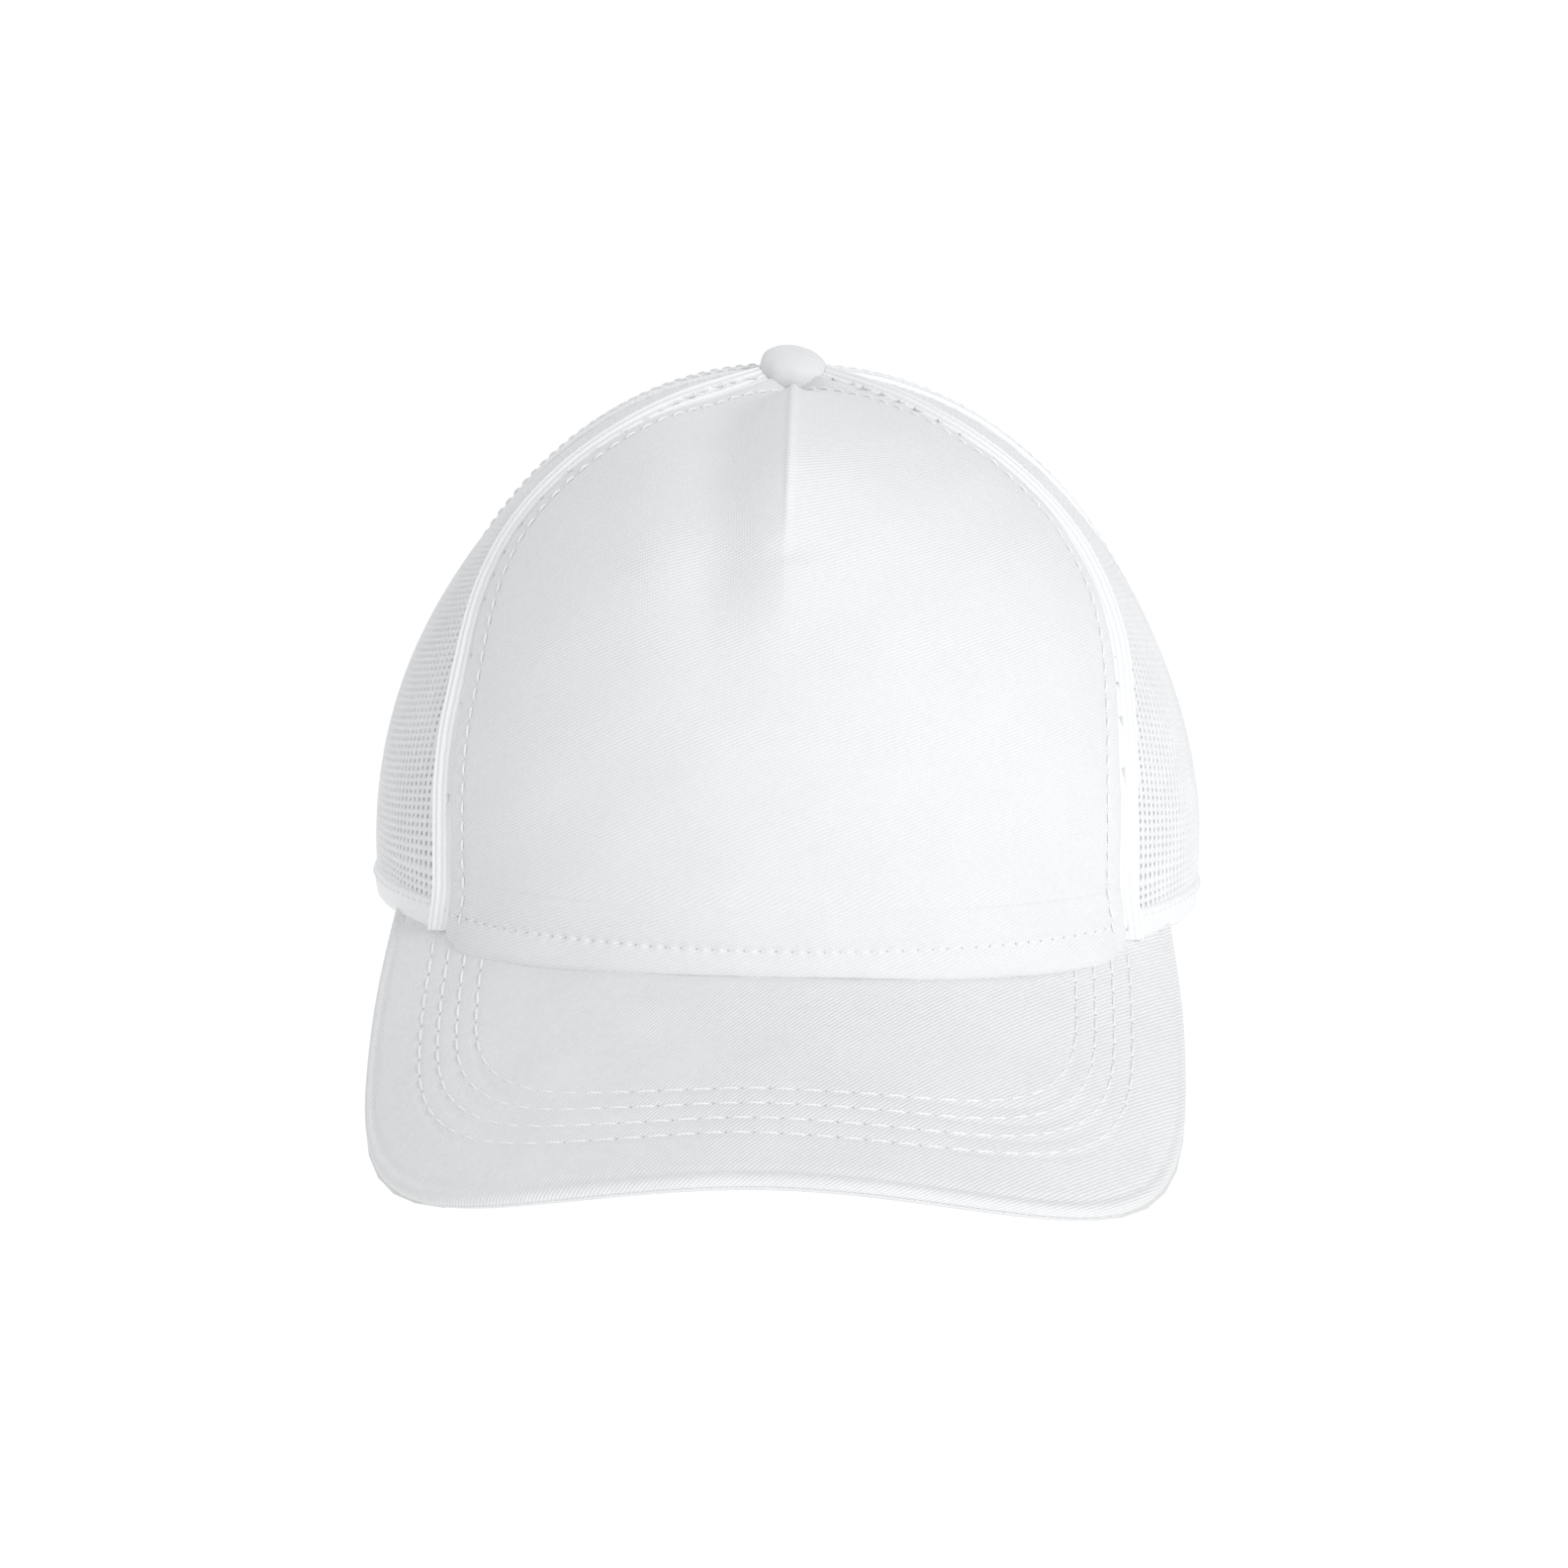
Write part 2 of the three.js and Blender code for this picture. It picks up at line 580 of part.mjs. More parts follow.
function addStraps() {
  const snaps = Array.from({ length: SNAP_COUNT }, (_, index) => {
    return radians(SNAP_ANGLE * (index - SNAPS_PAST_CENTRE));
  });
  let holeStrap = tongueSolid(1, holeStrapOffset);
  let pegStrap = tongueSolid(-1, pegStrapOffset);
  for (const angle of snaps) {
    holeStrap = holeStrap.subtract(pinSolid(angle, -HOLE_CUT, HOLE_CUT, HOLE_RADIUS, HOLE_RADIUS));
    const foot = pegStrapOffset - STRAP_THICKNESS / 2;
    const tip = pegStrapOffset + PEG_HEIGHT;
    pegStrap = pegStrap.add(pinSolid(-angle, foot, tip, PEG_BASE_RADIUS, PEG_TIP_RADIUS));
  }
  addPiece('hole_strap', geometryOf(holeStrap), strapMaterial);
  addPiece('hole_strap_tab', geometryOf(tabSolid(1, holeStrapOffset)), strapMaterial);
  addPiece('peg_strap', geometryOf(pegStrap), strapMaterial);
  addPiece('peg_strap_tab', geometryOf(tabSolid(-1, pegStrapOffset)), strapMaterial);
}

// ---------------------------------------------------------------------------------------------
// Visor
// ---------------------------------------------------------------------------------------------
const visorForward = new THREE.Vector3(0, -Math.cos(VISOR_SLOPE), -Math.sin(VISOR_SLOPE));
const visorUp = new THREE.Vector3(0, -Math.sin(VISOR_SLOPE), Math.cos(VISOR_SLOPE));

// A point of the bent sheet: flat distances across and forward, and a depth below its top face.
function visorPoint(across, forward, depth) {
  const turn = across / VISOR_RADIUS;
  const radius = VISOR_RADIUS - depth;
  return VISOR_ORIGIN.clone()
    .addScaledVector(visorForward, forward)
    .addScaledVector(visorUp, radius * Math.cos(turn) - VISOR_RADIUS)
    .add(new THREE.Vector3(radius * Math.sin(turn), 0, 0));
}

function visorSlab(top, bottom) {
  const halfWidth = VISOR_HALF_WIDTH + VISOR_CUTTER_MARGIN;
  const rear = VISOR_CORNER - VISOR_TAIL - VISOR_CUTTER_MARGIN;
  const front = VISOR_CORNER + VISOR_REACH + VISOR_CUTTER_MARGIN;
  const geometry = sheetGeometry(VISOR_COLUMNS, 1, (across, share, side) => {
    const forward = rear + (front - rear) * share;
    return visorPoint(halfWidth * (1 - 2 * across), forward, side ? bottom : top);
  });
  return solidFrom(geometry);
}

// The visor's outline, as a bar square to its sheet: a rounded front and slightly tapered sides.
function visorBar(inset) {
  const outline = [];
  const addPoint = (across, forward) => {
    outline.push(new THREE.Vector2(VISOR_RADIUS * Math.sin(across / VISOR_RADIUS), forward));
  };
  const half = VISOR_HALF_WIDTH - inset;
  addPoint(half - VISOR_TAPER, VISOR_CORNER - VISOR_TAIL);
  addPoint(half - VISOR_TAPER / 4, VISOR_CORNER - VISOR_TAIL / 2);
  for (let i = 0; i <= VISOR_EDGE_STEPS; i += 1) {
    const turn = (Math.PI * i) / VISOR_EDGE_STEPS;
    const across = half * Math.sign(Math.cos(turn)) * Math.abs(Math.cos(turn)) ** (2 / VISOR_POWER);
    const forward = (VISOR_REACH - inset) * Math.sin(turn) ** (2 / VISOR_POWER);
    addPoint(across, VISOR_CORNER + forward);
  }
  addPoint(VISOR_TAPER / 4 - half, VISOR_CORNER - VISOR_TAIL / 2);
  addPoint(VISOR_TAPER - half, VISOR_CORNER - VISOR_TAIL);
  const options = { depth: VISOR_CUTTER_LENGTH, bevelEnabled: false };
  const geometry = new THREE.ExtrudeGeometry(new THREE.Shape(outline), options);
  geometry.translate(0, 0, -VISOR_CUTTER_ABOVE);
  const basis = new THREE.Matrix4();
  basis.makeBasis(new THREE.Vector3(1, 0, 0), visorForward, visorUp.clone().negate());
  basis.setPosition(VISOR_ORIGIN);
  geometry.applyMatrix4(basis);
  return solidFrom(geometry);
}

// The lower crown as a filled block, grown by a gap, which trims the visor's inner edge.
function crownBlock() {
  const ringAt = (climb) => {
    return Array.from({ length: CROWN_BLOCK_COLUMNS }, (_, index) => {
      const angle = -Math.PI + (2 * Math.PI * index) / CROWN_BLOCK_COLUMNS;
      return crownPoint(angle, riseAtClimb(angle, climb), GAP);
    });
  };
  const foot = ringAt(0).map((point) => new THREE.Vector3(point.x, point.y, CROWN_BLOCK_FOOT));
  const rings = [foot];
  for (let row = 0; row < PANEL_ROWS / 2; row += 1) {
    rings.push(ringAt(row / PANEL_ROWS));
  }
  return solidFrom(ringGeometry(rings));
}

function addVisor() {
  const crown = crownBlock();
  const boardTop = VISOR_COVER + GAP;
  const boardBottom = boardTop + VISOR_BOARD;
  const underTop = boardBottom + GAP;
  const underBottom = underTop + VISOR_COVER;
  const rim = VISOR_COVER + GAP;
  const board = visorSlab(boardTop, boardBottom).intersect(visorBar(rim)).subtract(crown);
  const under = visorSlab(underTop, underBottom).intersect(visorBar(rim)).subtract(crown);
  const hollow = visorSlab(VISOR_COVER, underBottom + 1).intersect(visorBar(VISOR_COVER));
  const top = visorSlab(0, underBottom).intersect(visorBar(0)).subtract(hollow).subtract(crown);
  addPiece('visor_board', geometryOf(board), boardMaterial);
  addPiece('visor_cover_top', geometryOf(top), fabricMaterial);
  addPiece('visor_cover_under', geometryOf(under), fabricMaterial);
}

// ---------------------------------------------------------------------------------------------
// Button
// ---------------------------------------------------------------------------------------------
// A domed shell, open below, turned about Z: its outer radius, height, wall and rim height.
function domeGeometry(radius, height, wall, bottom) {
  const quarterFrom = (reach, rise) => {
    return Array.from({ length: BUTTON_STEPS + 1 }, (_, step) => {
      const turn = (Math.PI / 2) * (step / BUTTON_STEPS);
      const across = step === BUTTON_STEPS ? 0 : reach * Math.cos(turn);
      return new THREE.Vector2(across, bottom + rise * Math.sin(turn));
    });
  };
  const outside = quarterFrom(radius, height);
  const inside = quarterFrom(radius - wall, height - wall).reverse();
  return turned([...outside, ...inside, outside[0].clone()]);
}

// A profile turned about Z, read bottom to top on its outer side.
function turned(profile) {
  const geometry = new THREE.LatheGeometry(profile, BUTTON_SIDES);
  geometry.rotateX(Math.PI / 2);
  return geometryOf(solidFrom(geometry));
}

function addButton() {
  const rim = CROWN_HEIGHT + BUTTON_LIFT;
  const shellRadius = BUTTON_RADIUS - BUTTON_CLOTH - GAP;
  const shellHeight = BUTTON_HEIGHT - BUTTON_CLOTH - GAP;
  const cover = domeGeometry(BUTTON_RADIUS, BUTTON_HEIGHT, BUTTON_CLOTH, rim);
  const shell = domeGeometry(shellRadius, shellHeight, BUTTON_SHELL_WALL, rim);
  const plateBottom = CROWN_HEIGHT - RIVET_PLATE_DROP;
  const plateTop = plateBottom + RIVET_PLATE;
  const headRadius = RIVET_SHANK_RADIUS + RIVET_HEAD_OVERHANG;
  const headBottom = rim + RIVET_HEAD_CLEARANCE;
  const headTop = rim + shellHeight - BUTTON_SHELL_WALL - GAP - RIVET_HEAD_CLEARANCE;
  const rivet = [
    [0, plateBottom],
    [RIVET_PLATE_RADIUS, plateBottom],
    [RIVET_PLATE_RADIUS, plateTop],
    [RIVET_SHANK_RADIUS, plateTop + RIVET_CONE],
    [RIVET_SHANK_RADIUS, headBottom],
    [headRadius, headBottom],
    [headRadius, headTop],
    [0, headTop],
  ].map(([radius, height]) => new THREE.Vector2(radius, height));
  addPiece('button_cover', cover, fabricMaterial);
  addPiece('button_shell', shell, metalMaterial);
  addPiece('button_rivet', turned(rivet), metalMaterial);
}

addPanels();
addFoam();
addTapes();
addHemTapes();
addSweatband();
addArchBinding();
addStraps();
addVisor();
addButton();

export default cap;
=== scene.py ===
"""A white trucker mesh cap: the looks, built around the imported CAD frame.

Units are metres in the row frame: +Z up, the visor towards -Y, +X the wearer's left.
Angles run round the crown from the front (0) through the wearer's left to the rear (pi).
"""
import math

import bpy
import numpy as np
from mathutils import Matrix, Vector

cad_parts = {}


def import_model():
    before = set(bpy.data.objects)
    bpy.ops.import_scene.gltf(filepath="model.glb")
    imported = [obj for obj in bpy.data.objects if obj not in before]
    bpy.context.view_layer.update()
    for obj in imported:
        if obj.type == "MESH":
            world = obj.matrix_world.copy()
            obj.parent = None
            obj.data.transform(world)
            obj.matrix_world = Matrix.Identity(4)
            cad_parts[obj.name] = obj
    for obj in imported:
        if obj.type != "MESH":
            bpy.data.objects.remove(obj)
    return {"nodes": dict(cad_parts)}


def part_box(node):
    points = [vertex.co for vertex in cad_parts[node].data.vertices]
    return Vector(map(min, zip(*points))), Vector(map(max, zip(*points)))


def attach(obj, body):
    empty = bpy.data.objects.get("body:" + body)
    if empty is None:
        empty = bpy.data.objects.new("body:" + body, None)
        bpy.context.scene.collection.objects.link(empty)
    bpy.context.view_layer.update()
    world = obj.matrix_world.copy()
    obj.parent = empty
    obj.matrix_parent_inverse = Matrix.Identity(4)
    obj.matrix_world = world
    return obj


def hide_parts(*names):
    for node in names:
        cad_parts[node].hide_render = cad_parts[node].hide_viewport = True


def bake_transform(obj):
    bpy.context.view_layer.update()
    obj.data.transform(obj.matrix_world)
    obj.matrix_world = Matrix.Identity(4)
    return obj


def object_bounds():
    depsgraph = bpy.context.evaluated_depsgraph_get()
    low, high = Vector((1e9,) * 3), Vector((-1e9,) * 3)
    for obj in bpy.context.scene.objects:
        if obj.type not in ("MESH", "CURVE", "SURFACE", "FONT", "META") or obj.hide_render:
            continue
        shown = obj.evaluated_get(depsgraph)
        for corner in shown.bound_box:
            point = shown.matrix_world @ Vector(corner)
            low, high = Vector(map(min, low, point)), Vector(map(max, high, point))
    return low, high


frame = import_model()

cad_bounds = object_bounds()
MM = 0.001

# Driving values of the crown, taken from the frame where the frame has them
HALF_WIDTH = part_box("side_mesh_left")[1][0]
FRONT_DEPTH = -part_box("front_panel")[0][1]
REAR_DEPTH = 99.3 * MM
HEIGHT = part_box("front_panel")[1][2]
WIDEST = 12 * MM
DIP = -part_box("front_panel")[0][2]
LEAN = 0.014
FRONT_PLAN, REAR_PLAN = 2.0, 2.2
FRONT_PROFILE, SIDE_PROFILE, REAR_PROFILE = 2.82, 1.93, 2.33
VISOR_END = math.radians(68)
SKIRT = -0.5
TOP_HOLE = 4 * MM
SEAM_ANGLES = np.radians([52, 50.5, 49.5, 50, 53.5, 58.5, 61, 58, 50.5, 45, 42])
SIDE_SEAM = math.radians(116)
REAR_SEAM = math.pi

ARCH_HALF = 50 * MM
ARCH_HEIGHT = 57 * MM
HEM = 7 * MM


def by_facing(angle, front, side, rear):
    """A value that blends from the side's to the front's or the rear's round the crown."""
    facing = np.cos(angle)
    return side + (np.where(facing > 0, front, rear) - side) * facing**2


def plan_radius(angle):
    """The crown's widest distance from its axis at an angle."""
    front = np.cos(angle) > 0
    depth = np.where(front, FRONT_DEPTH, REAR_DEPTH)
    power = np.where(front, FRONT_PLAN, REAR_PLAN)
    across = np.abs(np.sin(angle) / HALF_WIDTH) ** power
    along = np.abs(np.cos(angle) / depth) ** power
    return (across + along) ** (-1 / power)


def profile_power(angle):
    return by_facing(angle, FRONT_PROFILE, SIDE_PROFILE, REAR_PROFILE)


def dip_at(angle):
    """How far the hem hangs below z = 0: most at the front, none past the visor's ends."""
    turn = np.abs((angle + math.pi) % (2 * math.pi) - math.pi)
    return DIP * (1 - np.minimum(1, turn / VISOR_END) ** 6)


def surface(angle, rise):
    """Points of the crown's outer surface; rise runs from SKIRT at the hem to pi / 2 at the top."""
    angle, rise = np.broadcast_arrays(angle, rise)
    power = profile_power(angle)
    upper = np.clip(rise, 0, math.pi / 2)
    down = np.clip(rise, -1, 0) / SKIRT
    height = WIDEST + (HEIGHT - WIDEST) * np.sin(upper) ** (2 / power)
    height = height - (WIDEST + dip_at(angle)) * down
    radius = plan_radius(angle) * np.cos(upper) ** (2 / power) * (1 - LEAN * down**2)
    return np.stack([radius * np.sin(angle), -radius * np.cos(angle), height], -1)


def normal_at(angle, rise):
    """The outward direction of the crown's surface."""
    step = 0.004
    around = surface(angle + step, rise) - surface(angle - step, rise)
    low = np.maximum(rise - step, SKIRT - 0.1)
    high = np.minimum(rise + step, math.pi / 2 - 0.001)
    normal = np.cross(around, surface(angle, high) - surface(angle, low))
    return normal / np.maximum(np.linalg.norm(normal, axis=-1, keepdims=True), 1e-12)


def crown(angle, rise, offset=0.0):
    """Points at an offset outside the crown's surface."""
    offset = np.asarray(offset, float)
    return surface(angle, rise) + normal_at(angle, rise) * offset[..., None]


def rise_at_radius(angle, radius):
    return np.arccos((radius / plan_radius(angle)) ** (profile_power(angle) / 2))


def rise_at_climb(angle, climb):
    """climb runs from 0 at the hem to 1 at the small hole under the button."""
    return SKIRT + (rise_at_radius(angle, TOP_HOLE) - SKIRT) * climb


def rise_at_height(angle, height):
    share = np.clip((height - WIDEST) / (HEIGHT - WIDEST), 0, 1)
    upper = np.arcsin(np.minimum(1, share ** (profile_power(angle) / 2)))
    lower = SKIRT * (WIDEST - height) / (WIDEST + dip_at(angle))
    return np.where(height < WIDEST, lower, upper)


def smooth(value, low, high):
    """A soft step from 0 at low to 1 at high."""
    part = np.clip((value - low) / (high - low), 0, 1)
    return part * part * (3 - 2 * part)


def front_seam(climb, side=1):
    """The front panel's edge on the wearer's left (side 1) or right (side -1), as a positive angle.
    The real sewing is a little uneven: wider low on the left, tighter over the right shoulder."""
    if side > 0:
        return plain_seam(climb) + math.radians(2.6) * (1 - smooth(climb, 0.1, 0.5))
    return plain_seam(climb) - math.radians(5.5) * smooth(climb, 0.3, 0.5) * (1 - smooth(climb, 0.75, 1.0))


def plain_seam(climb):
    """The seam's angle through its listed values, as a smooth Catmull-Rom curve."""
    spots = np.clip(climb, 0, 1) * (len(SEAM_ANGLES) - 1)
    index = np.clip(np.floor(spots).astype(int), 0, len(SEAM_ANGLES) - 2)
    part = spots - index
    padded = np.concatenate([SEAM_ANGLES[:1], SEAM_ANGLES, SEAM_ANGLES[-1:]])
    p0, p1, p2, p3 = (padded[index + shift] for shift in range(4))
    bend = (2 * p0 - 5 * p1 + 4 * p2 - p3) * part**2 + (3 * p1 - p0 - 3 * p2 + p3) * part**3
    return 0.5 * (2 * p1 + (p2 - p0) * part + bend)


def ring_radius(angle, rise):
    """The distance of the surface from the crown's axis."""
    point = surface(angle, rise)
    return np.hypot(point[..., 0], point[..., 1])


def ridge(distance, width):
    """A soft bump of height 1 round a line."""
    return np.exp(-((distance / width) ** 2))


def ripple(x, y, seed):
    """Slow, gentle unevenness between -1 and 1, the same in every run."""
    total = 0.0
    for turn in range(4):
        heading = seed * 1.7 + turn * 2.1
        wave = 0.021 + 0.011 * turn
        along = x * math.cos(heading) + y * math.sin(heading)
        total = total + np.sin(along * 2 * math.pi / wave + seed + turn)
    return total / 4


# Mesh building

def make_object(name, points, faces, uv=None, material=None, body="crown"):
    """Makes a mesh object that rides a body of the frame, if one is given."""
    mesh = bpy.data.meshes.new(name)
    mesh.from_pydata(np.asarray(points).tolist(), [], [tuple(int(i) for i in face) for face in faces])
    mesh.update()
    if uv is not None:
        layer = mesh.uv_layers.new(name="weave")
        corner = np.empty(len(mesh.loops), np.int32)
        mesh.loops.foreach_get("vertex_index", corner)
        layer.data.foreach_set("uv", np.asarray(uv)[corner].ravel().astype(np.float32))
    mesh.polygons.foreach_set("use_smooth", np.ones(len(mesh.polygons), bool))
    obj = bpy.data.objects.new(name, mesh)
    bpy.context.scene.collection.objects.link(obj)
    if material:
        mesh.materials.append(material)
    if body:
        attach(obj, body)
    return obj


def grid_faces(rows, columns, start=0):
    """Faces between the points of a grid."""
    j, i = np.mgrid[0:rows - 1, 0:columns - 1]
    corner = start + j * columns + i
    return np.stack([corner, corner + 1, corner + columns + 1, corner + columns], -1).reshape(-1, 4)


def grid_object(name, points, uv, material, thickness=0.0):
    """A sheet from a grid of points; thickness is added inwards, opposite the faces' normals."""
    rows, columns = points.shape[:2]
    faces = grid_faces(rows, columns)
    obj = make_object(name, points.reshape(-1, 3), faces, uv.reshape(-1, 2), material)
    if thickness:
        thicken(obj, thickness)
    return obj


def thicken(obj, thickness):
    """Gives a sheet thickness behind its faces."""
    solidify = obj.modifiers.new("thickness", "SOLIDIFY")
    solidify.thickness = thickness
    solidify.offset = -1
    solidify.use_even_offset = False


def distance_along(points):
    """The distance of each point of a line from its first one."""
    return np.concatenate([[0], np.cumsum(np.linalg.norm(np.diff(points, axis=0), axis=1))])


def unit(vectors):
    return vectors / np.linalg.norm(vectors, axis=-1, keepdims=True)


def along_line(places, length, values):
    """Values of a line, one row for each of its points, at other distances along it."""
    return np.stack([np.interp(places, length, values[:, k]) for k in range(3)], -1)


def sew(name, angle, rise, offset, pitch, fill=0.75, inside=False, **thread):
    """A row of stitches on the crown's outside, or on its inside, at an offset from its surface."""
    normal = normal_at(angle, rise)
    stitches(name, crown(angle, rise, offset), -normal if inside else normal, pitch, fill, **thread)


def stitches(name, line, normals, pitch, fill, radius=0.24 * MM, lift=0.05 * MM, needle=0.0):
    """A row of stitches along a line: short threads that dip into the cloth at both ends and, where a disc
    radius is given, flat grey discs between them that paint the shade inside the needle holes."""
    length = distance_along(line)
    count = max(1, int(length[-1] / pitch))
    along = np.linspace(-0.5, 0.5, 7)
    centres = (np.arange(count) + 0.5) * (length[-1] / count)
    places = centres[:, None] + along[None, :] * pitch * fill
    point = along_line(places, length, line)
    normal = unit(along_line(places, length, normals))
    tangent = unit(np.gradient(point, axis=1))
    side = np.cross(tangent, normal)
    arch = np.sqrt(np.clip(1 - (2 * along) ** 2, 0, 1))
    centre = point + normal * (lift + radius * 1.2 * (arch - 0.75))[None, :, None]
    thick = radius * (0.55 + 0.45 * arch)
    sides = 6
    turn = np.arange(sides) * 2 * math.pi / sides
    cosine, sine = np.cos(turn)[:, None], np.sin(turn)[:, None]
    ring = side[:, :, None] * cosine + normal[:, :, None] * sine
    points = centre[:, :, None] + ring * thick[None, :, None, None]
    rings = len(along)
    one = np.array(tube_faces(rings, sides))
    starts = np.arange(count) * rings * sides
    quads = (one[None] + starts[:, None, None]).reshape(-1, 4)
    caps = []
    for start in starts:
        caps.append([start + i for i in reversed(range(sides))])
        caps.append([start + (rings - 1) * sides + i for i in range(sides)])
    # Painted shade: flat grey discs laid just above the cloth between the stitches stand for the shade inside
    # the needle holes.
    if needle:
        spots = np.arange(1, count) * (length[-1] / count)
        up = unit(along_line(spots, length, normals))
        ahead = tangent[1:, 0]
        disc = ahead[:, None] * cosine + np.cross(up, ahead)[:, None] * sine
        discs = along_line(spots, length, line)[:, None] + up[:, None] * 0.07 * MM + disc * needle
        holes = np.arange((count - 1) * sides).reshape(-1, sides)
        make_object(name + "_hole_shade", discs.reshape(-1, 3), holes, np.zeros((holes.size, 2)),
                    MATERIAL["needle"])
    flat = points.reshape(-1, 3)
    make_object(name, flat, list(quads) + caps, np.zeros((len(flat), 2)), MATERIAL["thread"])


def tube_faces(rings, sides):
    """Faces of a tube between rings of points."""
    faces = []
    for j in range(rings - 1):
        for i in range(sides):
            after = (i + 1) % sides
            faces.append((j * sides + i, j * sides + after, (j + 1) * sides + after, (j + 1) * sides + i))
    return faces


# Materials

class Nodes:
    """A short way to write node materials."""

    def __init__(self, name):
        self.material = bpy.data.materials.new(name)
        self.material.use_nodes = True
        self.tree = self.material.node_tree
        self.shader = self.tree.nodes["Principled BSDF"]

    def add(self, kind, **values):
        node = self.tree.nodes.new(kind)
        for key, value in values.items():
            setattr(node, key, value)
        return node

    def link(self, out, into):
        self.tree.links.new(out, into)

    def uv(self, angle=0.0):
        source = self.add("ShaderNodeUVMap", uv_map="weave")
        mapping = self.add("ShaderNodeMapping")
        mapping.inputs["Rotation"].default_value = (0, 0, angle)
        self.link(source.outputs["UV"], mapping.inputs["Vector"])
        return mapping.outputs["Vector"]

    def wave(self, vector, pitch, distortion=1.5):
        node = self.add("ShaderNodeTexWave", wave_type="BANDS", bands_direction="X", wave_profile="SIN")
        node.inputs["Scale"].default_value = 2 * math.pi / (20 * pitch)
        node.inputs["Distortion"].default_value = distortion
        node.inputs["Detail"].default_value = 2
        node.inputs["Detail Scale"].default_value = 1.5
        self.link(vector, node.inputs["Vector"])
        return node.outputs["Fac"]

    def noise(self, vector, size, detail=3.0):
        node = self.add("ShaderNodeTexNoise")
        node.inputs["Scale"].default_value = 1 / size
        node.inputs["Detail"].default_value = detail
        self.link(vector, node.inputs["Vector"])
        return node.outputs["Fac"]

    def place(self):
        return self.add("ShaderNodeTexCoord").outputs["Object"]

    def maths(self, operation, a, b):
        node = self.add("ShaderNodeMath", operation=operation)
        for socket, value in zip(node.inputs, (a, b)):
            if isinstance(value, (int, float)):
                socket.default_value = value
            else:
                self.link(value, socket)
        return node.outputs[0]

    def total(self, *parts):
        """The sum of outputs, each times its weight."""
        result = None
        for output, weight in parts:
            part = output if weight == 1 else self.maths("MULTIPLY", output, weight)
            result = self.maths("ADD", result, part) if result else part
        return result

    def colours(self, factor, dark, light):
        ramp = self.add("ShaderNodeValToRGB")
        ramp.color_ramp.elements[0].color = (*dark, 1)
        ramp.color_ramp.elements[1].color = (*light, 1)
        ramp.color_ramp.elements[0].position = 0.25
        ramp.color_ramp.elements[1].position = 0.75
        self.link(factor, ramp.inputs["Fac"])
        self.link(ramp.outputs["Color"], self.shader.inputs["Base Color"])

    def bump(self, height, strength, distance):
        node = self.add("ShaderNodeBump")
        node.inputs["Strength"].default_value = strength
        node.inputs["Distance"].default_value = distance
        self.link(height, node.inputs["Height"])
        self.link(node.outputs["Normal"], self.shader.inputs["Normal"])

    def shade(self, **values):
        for key, value in values.items():
            self.shader.inputs[key.replace("_", " ")].default_value = value
        return self.material


def twill_material(name, lean, pitch, ribs, dark, light):
    """Cotton twill: fine ridges that lean by some degrees over upright threads, a soft nap and slight
    unevenness. ribs is the upright threads' share."""
    nodes = Nodes(name)
    diagonal = nodes.wave(nodes.uv(math.radians(lean)), pitch, 1.2)
    upright = nodes.wave(nodes.uv(0.0), pitch * 0.85, 2.0)
    fibres = nodes.noise(nodes.place(), 0.4 * MM, 4)
    cloud = nodes.noise(nodes.place(), 14 * MM, 2)
    slub = nodes.noise(nodes.place(), 1.6 * MM, 2)
    weave = nodes.total((diagonal, 1 - ribs * 0.5), (upright, ribs * 0.5))
    nodes.colours(nodes.total((weave, 0.5), (cloud, 0.22), (slub, 0.28)), dark, light)
    nodes.bump(nodes.total((weave, 1), (fibres, 0.5)), 0.45, 0.2 * MM)
    return nodes.shade(Roughness=0.92, Sheen_Weight=0.25, Sheen_Roughness=0.5, Specular_IOR_Level=0.2)


def net_material():
    """Knitted polyester net: bundles of smooth yarn with a faint shine."""
    nodes = Nodes("net_yarn")
    yarn = nodes.wave(nodes.uv(0.5), 0.45 * MM, 3.0)
    fibres = nodes.noise(nodes.place(), 0.35 * MM, 3)
    cloud = nodes.noise(nodes.place(), 9 * MM, 2)
    height = nodes.total((yarn, 1), (fibres, 1))
    nodes.colours(nodes.total((height, 0.25), (cloud, 0.5)), (0.82, 0.825, 0.83), (0.91, 0.91, 0.915))
    nodes.bump(height, 0.5, 0.15 * MM)
    return nodes.shade(Roughness=0.62, Sheen_Weight=0.2, Specular_IOR_Level=0.4)


def doubled_net_material():
    """Net folded on itself at a seam: its holes are closed and show as small dimples."""
    nodes = Nodes("doubled_net")
    rows = nodes.wave(nodes.uv(math.pi / 2), 1.5 * MM, 0.6)
    columns = nodes.wave(nodes.uv(0.0), 1.15 * MM, 0.6)
    fibres = nodes.noise(nodes.place(), 0.4 * MM, 3)
    cell = nodes.maths("MULTIPLY", columns, nodes.maths("ADD", nodes.maths("MULTIPLY", rows, 0.35), 0.65))
    height = nodes.total((cell, 1), (fibres, 0.4))
    nodes.colours(height, (0.83, 0.835, 0.84), (0.94, 0.94, 0.945))
    nodes.bump(height, 0.55, 0.3 * MM)
    return nodes.shade(Roughness=0.65, Sheen_Weight=0.2, Specular_IOR_Level=0.35)


